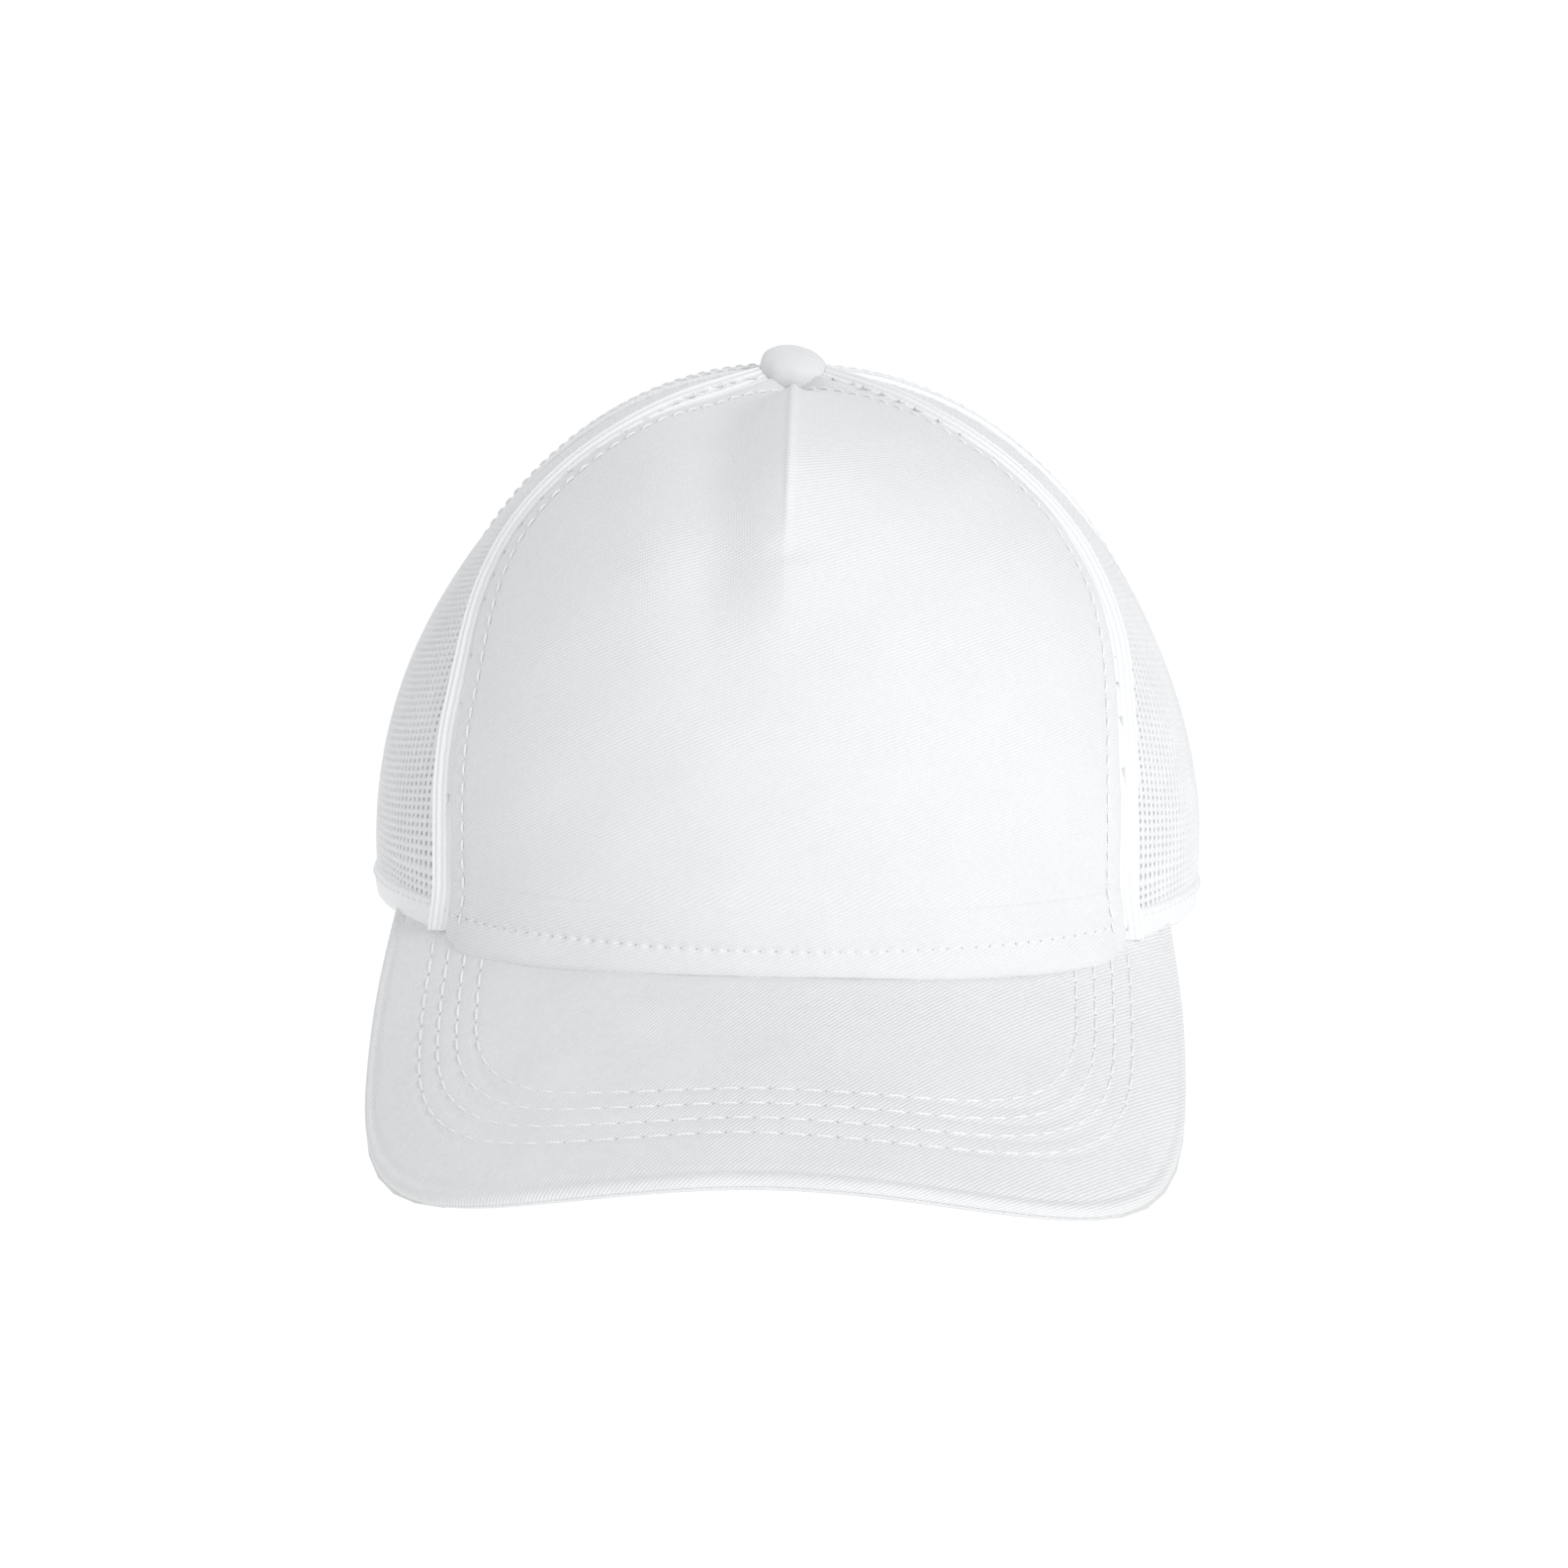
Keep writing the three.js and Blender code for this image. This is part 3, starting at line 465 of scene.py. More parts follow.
def woven_material(name, pitch, dark, light):
    """A plain weave tape or band: threads both ways."""
    nodes = Nodes(name)
    along = nodes.wave(nodes.uv(0.0), pitch, 1.0)
    across = nodes.wave(nodes.uv(math.pi / 2), pitch, 1.0)
    fibres = nodes.noise(nodes.place(), 0.5 * MM, 3)
    cloud = nodes.noise(nodes.place(), 12 * MM, 2)
    threads = nodes.maths("MULTIPLY", along, across)
    height = nodes.total((threads, 1), (fibres, 0.6))
    nodes.colours(nodes.total((height, 0.35), (cloud, 0.4)), dark, light)
    nodes.bump(height, 0.6, 0.25 * MM)
    return nodes.shade(Roughness=0.88, Sheen_Weight=0.2, Specular_IOR_Level=0.2)


def foam_material():
    """Foam with a knitted backing: open, soft and slightly warm."""
    nodes = Nodes("foam_backing")
    cells = nodes.add("ShaderNodeTexVoronoi")
    cells.inputs["Scale"].default_value = 1 / (1.1 * MM)
    nodes.link(nodes.place(), cells.inputs["Vector"])
    cloud = nodes.noise(nodes.place(), 10 * MM, 3)
    height = nodes.total((cells.outputs["Distance"], 1), (cloud, 0.3))
    nodes.colours(height, (0.72, 0.71, 0.68), (0.82, 0.81, 0.78))
    nodes.bump(height, 0.6, 0.4 * MM)
    return nodes.shade(Roughness=0.97, Specular_IOR_Level=0.1)


def thread_material():
    nodes = Nodes("sewing_thread")
    twist = nodes.noise(nodes.place(), 0.25 * MM, 2)
    nodes.colours(twist, (0.83, 0.83, 0.83), (0.92, 0.92, 0.92))
    nodes.bump(twist, 0.5, 0.1 * MM)
    return nodes.shade(Roughness=0.5, Sheen_Weight=0.15)


def strap_material():
    """Milky moulded plastic with a fine, slightly worn surface."""
    nodes = Nodes("moulded_strap")
    grain = nodes.noise(nodes.place(), 0.5 * MM, 3)
    cloud = nodes.noise(nodes.place(), 9 * MM, 3)
    nodes.colours(cloud, (0.80, 0.805, 0.80), (0.87, 0.875, 0.87))
    rough = nodes.maths("ADD", nodes.maths("MULTIPLY", cloud, 0.15), 0.3)
    nodes.link(rough, nodes.shader.inputs["Roughness"])
    nodes.bump(grain, 0.15, 0.05 * MM)
    return nodes.shade(Subsurface_Weight=0.25, Subsurface_Scale=0.002, IOR=1.5)


def metal_material():
    nodes = Nodes("pressed_steel")
    grain = nodes.noise(nodes.place(), 0.3 * MM, 3)
    nodes.colours(grain, (0.5, 0.51, 0.52), (0.66, 0.67, 0.68))
    nodes.link(nodes.maths("ADD", nodes.maths("MULTIPLY", grain, 0.2), 0.3), nodes.shader.inputs["Roughness"])
    return nodes.shade(Metallic=1.0)


def board_material():
    nodes = Nodes("visor_sheet")
    grain = nodes.noise(nodes.place(), 0.8 * MM, 3)
    nodes.colours(grain, (0.6, 0.6, 0.58), (0.7, 0.7, 0.68))
    nodes.bump(grain, 0.2, 0.1 * MM)
    return nodes.shade(Roughness=0.5)


def needle_material():
    """Painted shade: a flat grey for the shaded inside of a needle hole in the cloth."""
    nodes = Nodes("needle_hole")
    nodes.colours(nodes.noise(nodes.place(), 0.3 * MM, 2), (0.5, 0.5, 0.5), (0.62, 0.62, 0.62))
    return nodes.shade(Roughness=0.95, Specular_IOR_Level=0.0)


PLAIN_TWILL = ((0.76, 0.765, 0.77), (0.85, 0.85, 0.855))
MARKED_TWILL = ((0.72, 0.725, 0.73), (0.87, 0.87, 0.875))
FINE_TWILL = ((0.79, 0.795, 0.80), (0.84, 0.84, 0.845))

MATERIAL = {
    # Needle holes: painted shade.
    "needle": needle_material(),
    "front": twill_material("front_twill", 68, 0.68 * MM, 0.55, *PLAIN_TWILL),
    "visor": twill_material("visor_twill", -42, 0.78 * MM, 0.15, *MARKED_TWILL),
    "under": twill_material("under_visor_twill", 42, 0.72 * MM, 0.35, *PLAIN_TWILL),
    "button": twill_material("button_twill", 60, 0.45 * MM, 0.5, *FINE_TWILL),
    "net": net_material(),
    "doubled": doubled_net_material(),
    "tape": woven_material("seam_tape", 0.7 * MM, (0.78, 0.78, 0.77), (0.87, 0.87, 0.86)),
    "band": woven_material("sweatband_cotton", 0.9 * MM, (0.78, 0.78, 0.77), (0.88, 0.88, 0.87)),
    "binding": woven_material("arch_binding", 0.6 * MM, (0.78, 0.785, 0.79), (0.88, 0.88, 0.885)),
    "foam": foam_material(),
    "thread": thread_material(),
    "strap": strap_material(),
    "metal": metal_material(),
    "board": board_material(),
}


# Front panel
TOPSTITCH_INSET, TOPSTITCH_PITCH = 6 * MM, 3.9 * MM
HEM_STITCH_HEIGHT, HEM_STITCH_PITCH = 3.6 * MM, 3.3 * MM
DART_LOW, DART_FULL = 0.553, 0.65
PEAK_RISE, PEAK_REACH_LEFT, PEAK_REACH_RIGHT = 8.2 * MM, 19 * MM, 15 * MM
HOLLOW_DEPTH, HOLLOW_PLACE, HOLLOW_WIDTH = 2.9 * MM, -14 * MM, 9.5 * MM
TOP_SINK = 11.6 * MM


def front_form(side, climb, radius, share):
    """The panel's peak along the dart, the hollow on the wearer's right of it and the way its top is
    drawn down under the button. share runs from 0 at the middle to 1 at the panel's edges."""
    reach = np.where(side < 0, PEAK_REACH_RIGHT, PEAK_REACH_LEFT)
    peak = np.exp(-np.sqrt(side**2 + (0.8 * MM) ** 2) / reach) * smooth(climb, 0.42, 0.68)
    hollow = ridge(side - HOLLOW_PLACE, HOLLOW_WIDTH) * smooth(climb, 0.36, 0.56)
    hollow = hollow * smooth(radius, 5 * MM, 60 * MM)
    drawn_down = (1 - smooth(radius, 4 * MM, 64 * MM)) * (1 - 0.5 * smooth(share, 0, 1))
    return PEAK_RISE * peak - HOLLOW_DEPTH * hollow - TOP_SINK * drawn_down


def arc_up(climb):
    """Distance up the crown's surface from the hem at the front's middle angles."""
    ladder = np.linspace(0, 1, 300)
    path = surface(np.full_like(ladder, 0.5), rise_at_climb(0.5, ladder))
    return np.interp(climb, ladder, distance_along(path))


def front_offset(angle, climb):
    """How far the cloth of the front panel stands off the plain surface."""
    rise = rise_at_climb(angle, climb)
    radius = ring_radius(angle, rise)
    seam = np.where(angle > 0, front_seam(climb), front_seam(climb, -1))
    edge = (seam - np.abs(angle)) * radius
    side = angle * radius
    up = arc_up(climb)
    point = surface(angle, rise)
    offset = 0.35 * MM * ripple(side, up, 1.3)
    offset = offset - 0.9 * MM * ridge(edge, 1.3 * MM)
    pucker = 0.5 + 0.5 * np.cos(2 * math.pi * up / TOPSTITCH_PITCH)
    offset = offset - (0.22 + 0.16 * pucker) * MM * ridge(edge - TOPSTITCH_INSET, 0.9 * MM)
    low = point[..., 2] + dip_at(angle) - DIP
    row = 0.5 + 0.5 * np.cos(2 * math.pi * side / HEM_STITCH_PITCH)
    offset = offset - (0.15 + 0.3 * row) * MM * ridge(low - HEM_STITCH_HEIGHT, 0.9 * MM)
    offset = offset + 2.0 * MM * (1 - smooth(point[..., 2], -2.5 * MM, 5 * MM)) * smooth(edge, 0, 14 * MM)
    dart = smooth(climb, DART_LOW, DART_FULL)
    offset = offset + front_form(side, climb, radius, np.abs(angle) / seam)
    offset = offset + 0.7 * MM * dart * ridge(side - 0.6 * MM, 0.8 * MM)
    pinch = ridge(side - 1 * MM, 4 * MM) * ridge((climb - DART_LOW - 0.005) * 150 * MM, 2.2 * MM)
    offset = offset - 0.9 * MM * pinch
    return offset


def front_panel():
    """The twill front, topstitched along both seams and sewn along its hem."""
    columns, rows = 261, 186
    across = np.linspace(-1, 1, columns)[None, :]
    across = np.sign(across) * np.abs(across) ** 1.2
    climb = np.linspace(0, 1, rows)[:, None] * np.ones((1, columns))
    angle = across * np.where(across > 0, front_seam(climb), front_seam(climb, -1))
    rise = rise_at_climb(angle, climb)
    points = crown(angle, rise, front_offset(angle, climb))
    uv = np.stack([angle * ring_radius(angle, rise), arc_up(climb)], -1)
    panel = grid_object("front_panel_twill", points, uv, MATERIAL["front"], 0.7 * MM)
    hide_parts("front_panel")
    for side, name in ((1, "left"), (-1, "right")):
        steps = np.linspace(0.085, 0.975, 400)
        seam = front_seam(steps, side)
        radius = ring_radius(seam, rise_at_climb(seam, steps))
        line = side * (seam - TOPSTITCH_INSET / radius)
        keep = np.abs(line) > 0.02
        line, steps = line[keep], steps[keep]
        sew("front_topstitch_" + name, line, rise_at_climb(line, steps), front_offset(line, steps),
            TOPSTITCH_PITCH, 0.72, radius=0.3 * MM, lift=0.22 * MM, needle=0.13 * MM)
    turn = np.linspace(-0.93, 0.93, 300) * front_seam(0.1)
    height = HEM_STITCH_HEIGHT - dip_at(turn) + DIP
    rise = rise_at_height(turn, height)
    climb = (rise - SKIRT) / (rise_at_climb(turn, 1.0) - SKIRT)
    sew("front_hem_stitches", turn, rise, front_offset(turn, climb), HEM_STITCH_PITCH, 0.5,
        lift=-0.12 * MM, needle=0.25 * MM)


FOAM_INSET, FOAM_LOW, FOAM_HIGH = 10 * MM, 0.02, 0.92


def front_foam():
    """The pad behind the front panel: it follows the panel's back and thins towards its own rim."""
    columns, rows = 60, 60
    across = np.linspace(-1, 1, columns)[None, :]
    climb = np.linspace(FOAM_LOW, FOAM_HIGH, rows)[:, None] * np.ones((1, columns))
    seam = front_seam(climb)
    radius = ring_radius(seam, rise_at_climb(seam, climb))
    angle = across * (seam - FOAM_INSET / radius)
    rise = rise_at_climb(angle, climb)
    edge = np.minimum(1 - np.abs(across), np.minimum(climb - FOAM_LOW, FOAM_HIGH - climb) * 2)
    swell = np.minimum(1, edge / 0.05)
    offset = np.minimum(-1.3 * MM, front_offset(angle, climb) - 1.1 * MM)
    outer = crown(angle, rise, offset)
    inner = crown(angle, rise, offset - (0.8 + 1.7 * np.sqrt(swell)) * MM)
    uv = np.stack([angle * radius, arc_up(climb)], -1)
    foam = slab("front_foam_pad", outer, inner, uv, MATERIAL["foam"], "crown")
    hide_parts("front_foam")


def slab(name, outer, inner, uv, material, body):
    """A closed piece between an outer grid of points and an inner one."""
    rows, columns = outer.shape[:2]
    total = rows * columns
    faces = list(grid_faces(rows, columns)) + [face[::-1] for face in grid_faces(rows, columns, total)]
    faces += rim_faces(rows, columns, total)
    points = np.concatenate([outer.reshape(-1, 3), inner.reshape(-1, 3)])
    uv = uv.reshape(-1, 2)
    return make_object(name, points, faces, np.concatenate([uv, uv]), material, body)


def rim_faces(rows, columns, shift):
    """Faces that close the rim between an outer grid and an inner one numbered shift later."""
    loop = [i for i in range(columns)]
    loop += [(j + 1) * columns - 1 for j in range(1, rows)]
    loop += [(rows - 1) * columns + i for i in reversed(range(columns - 1))]
    loop += [j * columns for j in reversed(range(1, rows - 1))]
    faces = []
    for here, after in zip(loop, loop[1:] + loop[:1]):
        faces.append((after, here, here + shift, after + shift))
    return faces


# Net panels
NET_ROW = 1.5 * MM
NET_COLUMN = 2.3 * MM
NET_HOLE = (0.34 * MM, 0.38 * MM)
SEAM_BAND = 4.6 * MM
WALE_LIFT = 0.16 * MM
STRAND_DROP = 0.08 * MM
NET_THICK = 0.45 * MM
NET_EDGE, NET_ARCH_EDGE, NET_TOP_RADIUS = 0.8 * MM, 2.5 * MM, 5 * MM


def net_offset(angle, rise, seed):
    """The net's own unevenness: soft dents, strongest halfway up the side."""
    radius = ring_radius(angle, rise)
    point = surface(angle, rise)
    height = point[..., 2]
    body = smooth(height, 2 * MM, 18 * MM) * (1 - smooth(height, 80 * MM, 110 * MM))
    return (-0.1 + 0.9 * ripple(angle * radius * 0.55, height * 0.4, seed) * body) * MM


def net_panel(name, node, from_angle, to_angle, seed, margins):
    """Net cut to a gore: a regular grid of rounded holes laid out flat from the gore's middle line."""
    ladder = np.linspace(0, 1, 400)
    middle = (from_angle(ladder) + to_angle(ladder)) / 2
    rise = rise_at_climb(middle, ladder)
    path = surface(middle, rise)
    length = distance_along(path)
    rows = int(length[-1] / NET_ROW)
    step = 0.002
    apart = surface(middle + step, rise) - surface(middle - step, rise)
    stretch = np.linalg.norm(apart, axis=-1) / (2 * step)
    widest = np.max((to_angle(ladder) - from_angle(ladder)) * stretch) / 2
    half = int(widest / NET_COLUMN) + 2

    def place(s, t):
        climb = np.interp(t, length, ladder)
        centre = np.interp(climb, ladder, middle)
        angle = centre + s / np.interp(climb, ladder, stretch)
        return angle, climb

    column, row = np.meshgrid(np.arange(-half, half), np.arange(rows))
    s_mid = (column + 0.5) * NET_COLUMN
    t_mid = (row + 0.5) * NET_ROW
    angle, climb = place(s_mid, t_mid)
    scale = np.interp(climb, ladder, stretch)
    from_gap = (angle - from_angle(climb)) * scale
    to_gap = (to_angle(climb) - angle) * scale
    spot = surface(angle, rise_at_climb(angle, climb))
    arch_x = spot[..., 0] / (ARCH_HALF + NET_ARCH_EDGE)
    arch_z = spot[..., 2] / (ARCH_HEIGHT + NET_ARCH_EDGE)
    in_arch = (spot[..., 1] > 0) & (arch_x**2 + arch_z**2 < 1)
    keep = (from_gap > NET_EDGE) & (to_gap > NET_EDGE) & ~in_arch & (t_mid < length[-1] - 2 * MM)
    keep &= ring_radius(angle, rise_at_climb(angle, climb)) > NET_TOP_RADIUS
    filled = (spot[..., 2] < HEM) | (from_gap < margins[0]) | (to_gap < margins[1])

    square = np.array([(-1, -1), (0, -1), (1, -1), (1, 0), (1, 1), (0, 1), (-1, 1), (-1, 0)], float)
    turn = np.arctan2(square[:, 1], square[:, 0])
    hole = np.stack([np.sign(np.cos(turn)) * np.abs(np.cos(turn)) ** 0.75 * NET_HOLE[0],
                     np.sign(np.sin(turn)) * np.abs(np.sin(turn)) ** 0.75 * NET_HOLE[1]], -1)
    hole[np.abs(hole) < 1e-9] = 0
    outer = square * [NET_COLUMN / 2, NET_ROW / 2]
    cells = np.argwhere(keep)
    keys = {}
    points_st = []
    heights = []
    faces = []

    def corner(key, s, t, height):
        if key not in keys:
            keys[key] = len(points_st)
            points_st.append((s, t))
            heights.append(height)
        return keys[key]

    for j, i in cells:
        s0, t0 = s_mid[j, i], t_mid[j, i]
        ring = []
        for k, (ds, dt) in enumerate(outer):
            key = (2 * i + int(square[k][0]), 2 * j + int(square[k][1]))
            on_wale = square[k][0] != 0
            ring.append(corner(key, s0 + ds, t0 + dt, WALE_LIFT if on_wale else -STRAND_DROP))
        if filled[j, i]:
            faces.append(ring)
            continue
        inner = []
        for k, (ds, dt) in enumerate(hole):
            on_wale = abs(ds) > abs(dt) * 0.9
            height = 0.0 if on_wale else -STRAND_DROP - 0.05 * MM
            inner.append(corner((i, j, k), s0 + ds, t0 + dt, height))
        for k in range(8):
            after = (k + 1) % 8
            faces.append((ring[k], ring[after], inner[after], inner[k]))
    st = np.array(points_st)
    angle, climb = place(st[:, 0], st[:, 1])
    rise = rise_at_climb(angle, climb)
    offset = net_offset(angle, rise, seed) + np.array(heights) - 0.3 * MM
    obj = make_object(name, crown(angle, rise, offset), faces, st, MATERIAL["net"])
    thicken(obj, NET_THICK)
    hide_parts(node)


def front_seam_right(climb):
    """The seam on the wearer's right, as a negative angle."""
    return -front_seam(climb, -1)


def constant(angle):
    """A seam that keeps one angle all the way up."""
    return lambda climb: np.full_like(np.asarray(climb, float), angle)


def net_panels():
    """The four panels of net between the seams."""
    left, right = constant(SIDE_SEAM), constant(-SIDE_SEAM)
    rear_left, rear_right = constant(REAR_SEAM), constant(-REAR_SEAM)
    wide, narrow = SEAM_BAND - 1 * MM, 3 * MM
    net_panel("side_net_left", "side_mesh_left", front_seam, left, 2.0, (wide, narrow))
    net_panel("side_net_right", "side_mesh_right", right, front_seam_right, 3.1, (narrow, wide))
    net_panel("rear_net_left", "rear_mesh_left", left, rear_left, 4.3, (narrow, narrow))
    net_panel("rear_net_right", "rear_mesh_right", rear_right, right, 5.7, (narrow, narrow))


# Seams, hems and tapes on the crown

def ribbon(name, centre, climb, shift, width, profile, thickness, material, seed, lift=0.0):
    """A strip along a seam. centre and climb give its line, shift moves it sideways along the surface,
    profile lists its heights off the surface across its width, and lift is added to them."""
    q = np.linspace(-1, 1, len(profile))[None, :]
    centre, climb = centre[:, None], climb[:, None]
    radius = ring_radius(centre, rise_at_climb(centre, climb))
    side = shift + q * width / 2
    angle = centre + side / radius
    climb = climb + 0 * angle
    rise = rise_at_climb(angle, climb)
    up = arc_up(climb)
    wobble = 0.14 * MM * ripple(up * 0.9, side * 1.5, seed)
    points = crown(angle, rise, profile[None, :] + wobble + lift)
    uv = np.stack([side + 0 * angle, up], -1)
    return grid_object(name, points, uv, material, thickness)


FOLD_WIDTH, FOLD_THICK = 7 * MM, 0.6 * MM
SEAM_ROW, SEAM_STITCH_OFFSET, SEAM_STITCH_PITCH = 2.2 * MM, 0.85 * MM, 3 * MM
TUCK_DEPTH = 2.2 * MM


def front_fold_profile(q):
    """The fold beside the front panel: it climbs from the panel (-1), crests and tucks into the net (1)."""
    climb = np.clip((q + 1) / 1.4, 0, 1) ** 0.8
    tuck = np.clip((q - 0.35) / 0.65, 0, 1) ** 2
    lines = 0.16 * ridge(q + 0.25, 0.09) + 0.16 * ridge(q - 0.25, 0.09)
    return (2.9 * (climb - tuck) - 1.3 - lines) * MM


def seam_bands():
    """The folds of net over every seam: one-sided along the front panel, flat and double-stitched
    elsewhere."""
    steps = np.linspace(0.035, 0.985, 280)
    tucked_end = TUCK_DEPTH * (1 - smooth(steps, steps[0], steps[0] + 0.018))
    for side, name in ((1, "left"), (-1, "right")):
        seam = side * front_seam(steps, side)
        radius = ring_radius(seam, rise_at_climb(seam, steps))
        form = front_form(seam * radius, steps, radius, 1.0)
        q = np.linspace(-1, 1, 21) * side
        ribbon("front_seam_fold_" + name, seam, steps, side * (SEAM_BAND / 2 - 0.5 * MM), SEAM_BAND + 1 * MM,
               front_fold_profile(q), FOLD_THICK, MATERIAL["doubled"], 1.0 + side,
               form[:, None] * (1 - q) / 2 - tucked_end[:, None])
    q = np.linspace(-1, 1, 17)
    flat = (1.75 * (1 - q**8) - 0.9 - 0.5 * ridge(q, 0.08)) * MM
    rear_start = climb_at_height(REAR_SEAM, ARCH_HEIGHT + 3 * MM)
    for seam, name, start, count, seed in ((SIDE_SEAM, "side_left", 0.06, 240, SIDE_SEAM),
                                           (-SIDE_SEAM, "side_right", 0.06, 240, -SIDE_SEAM),
                                           (REAR_SEAM, "rear", rear_start, 140, 3.0)):
        steps = np.linspace(start, 0.985, count)
        ribbon("seam_fold_" + name, np.full_like(steps, seam), steps, 0.0, FOLD_WIDTH, flat, FOLD_THICK,
               MATERIAL["doubled"], seed)
        radius = ring_radius(seam, rise_at_climb(seam, steps))
        for shift, row in ((-SEAM_ROW, "_a"), (SEAM_ROW, "_b")):
            angle = seam + shift / radius
            sew("seam_stitch_" + name + row, angle, rise_at_climb(angle, steps), SEAM_STITCH_OFFSET,
                SEAM_STITCH_PITCH)


def climb_at_height(angle, height):
    """The climb at which the crown's surface reaches a height."""
    low = float(rise_at_height(np.float64(angle), height))
    return (low - SKIRT) / (float(rise_at_climb(angle, 1.0)) - SKIRT)


HEM_THICK, HEM_ROW_HEIGHT = 0.7 * MM, 5.2 * MM
HEM_TAPE_LOW, HEM_TAPE_TALL = 0.2 * MM, 11.8 * MM
TAPE_THICK, TAPE_OFFSET, TAPE_PITCH = 0.5 * MM, -1.2 * MM, 3.2 * MM


def hems():
    """The net's folded lower edge, from the visor's end to the arch, and the tape behind it."""
    end = math.radians(180 - 36.2)
    for side, name in ((1, "left"), (-1, "right")):
        turn = side * np.linspace(float(front_seam(0.0, side)) + 0.02, end, 260)
        q = np.linspace(-1, 1, 15)[:, None]
        height = HEM / 2 * (1 + q) + 0 * turn[None, :]
        rise = rise_at_height(turn[None, :], height)
        points = crown(turn[None, :], rise, (1.25 * (1 - q**8) - 0.8) * MM)
        uv = np.stack([turn[None, :] * HALF_WIDTH + 0 * q, height], -1)
        if side < 0:
            points, uv = points[:, ::-1], uv[:, ::-1]
        grid_object("net_hem_" + name, points, uv, MATERIAL["doubled"], HEM_THICK)
        sew("net_hem_stitches_" + name, turn, rise_at_height(turn, HEM_ROW_HEIGHT), 0.45 * MM, TAPE_PITCH,
            0.72, lift=0.04 * MM)
        hem_tape("hem_tape_strip_" + name, "hem_tape_" + name, side)


def hem_tape(name, node, side):
    """The tape that covers the hem's inside."""
    turn = side * np.radians(np.linspace(59, 141.4, 160))[None, :]
    share = np.linspace(0, 1, 12)[:, None]
    height = HEM_TAPE_LOW + HEM_TAPE_TALL * share + 0 * turn
    points = crown(turn, rise_at_height(turn, height), TAPE_OFFSET)
    uv = np.stack([turn * HALF_WIDTH + 0 * share, height], -1)
    if side < 0:
        points, uv = points[:, ::-1], uv[:, ::-1]
    tape = grid_object(name, points, uv, MATERIAL["tape"], TAPE_THICK)
    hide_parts(node)


TAPE_WIDTH, TAPE_ROW = 18 * MM, 6.5 * MM


def inner_tapes():
    """Tapes over the seams inside the crown, each with a row of stitches near both edges."""
    rear_start = climb_at_height(REAR_SEAM, ARCH_HEIGHT + 9 * MM)
    plans = (
        ("seam_tape_front_left", front_seam, 0.12, 0.925, TAPE_OFFSET),
        ("seam_tape_front_right", front_seam_right, 0.12, 0.925, TAPE_OFFSET),
        ("seam_tape_side_left", constant(SIDE_SEAM), 0.12, 0.925, TAPE_OFFSET),
        ("seam_tape_side_right", constant(-SIDE_SEAM), 0.12, 0.925, TAPE_OFFSET),
        ("seam_tape_rear", constant(REAR_SEAM), rear_start, 0.925, TAPE_OFFSET),
        ("seam_tape_dart", constant(0.0), 0.63, 0.88, -4.1 * MM),
    )
    puff = 0.12 * MM * (1 - np.linspace(-1, 1, 17) ** 2)
    for node, seam_at, low, high, offset in plans:
        steps = np.linspace(low, high, 120)
        seam = seam_at(steps)
        radius = ring_radius(seam, rise_at_climb(seam, steps))
        sunk = 0 * steps
        if "front" in node:
            sunk = np.minimum(front_form(seam * radius, steps, radius, 1.0), 0)
        tape = ribbon(node + "_strip", seam, steps, 0.0, TAPE_WIDTH, offset + puff, TAPE_THICK,
                      MATERIAL["tape"], low, sunk[:, None])
        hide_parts(node)
        for shift, row in ((-TAPE_ROW, "_stitch_a"), (TAPE_ROW, "_stitch_b")):
            angle = seam + shift / radius
            sew(node + row, angle, rise_at_climb(angle, steps), offset - TAPE_THICK + sunk, TAPE_PITCH,
                inside=True, lift=0.08 * MM)


# Sweatband

BAND_END = math.radians(180 - 29.8)
BAND_LOW, BAND_THICK, BAND_OFFSET, BAND_TUCK = 0.6 * MM, 1.3 * MM, -5.6 * MM, 2.9 * MM
BAND_PITCH = 3.4 * MM


def sweatband():
    """The cotton band inside the rim: tucked against the crown, and standing off it near the straps."""
    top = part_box("sweatband")[1][2]
    turn = np.linspace(-BAND_END, BAND_END, 420)
    share = np.linspace(0, 1, 26)[:, None]
    height = BAND_LOW + (top - BAND_LOW) * share + 0 * turn[None, :]
    clear_of_strap = smooth(np.abs(turn), math.radians(120), math.radians(134))[None, :]
    tuck = (1 - smooth(height, 0.0, 9 * MM)) * (1 - clear_of_strap)
    wave = 0.35 * MM * ripple(turn[None, :] * HALF_WIDTH * 0.8, height * 0.5, 2.2)
    edge = 0.35 * MM * ridge((share - 1) * 33, 1.5)
    offset = BAND_OFFSET + BAND_TUCK * tuck + np.minimum(wave, 0.1 * MM) - edge
    rise = rise_at_height(turn[None, :], height)
    points = crown(turn[None, :] + 0 * share, rise, offset)
    uv = np.stack([turn[None, :] * HALF_WIDTH + 0 * share, height], -1)
    band = grid_object("sweatband_cotton", points, uv, MATERIAL["band"], BAND_THICK)
    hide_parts("sweatband")
    for place, name in ((0.93, "top"), (0.17, "low")):
        at = BAND_LOW + (top - BAND_LOW) * place
        row = offset[int(place * 25)]
        sew("sweatband_stitches_" + name, turn, rise_at_height(turn, at), row - BAND_THICK, BAND_PITCH,
            inside=True, lift=0.1 * MM)


# Rear arch binding

def rear_spot(x, z):
    """The angle and rise of the point of the crown's rear that stands at x and z."""
    angle = np.full_like(x, math.pi)
    for _ in range(12):
        rise = rise_at_height(angle, z)
        radius = ring_radius(angle, rise)
        angle = math.pi - np.arcsin(np.clip(x / radius, -0.99, 0.99))
    return angle, rise_at_height(angle, z)


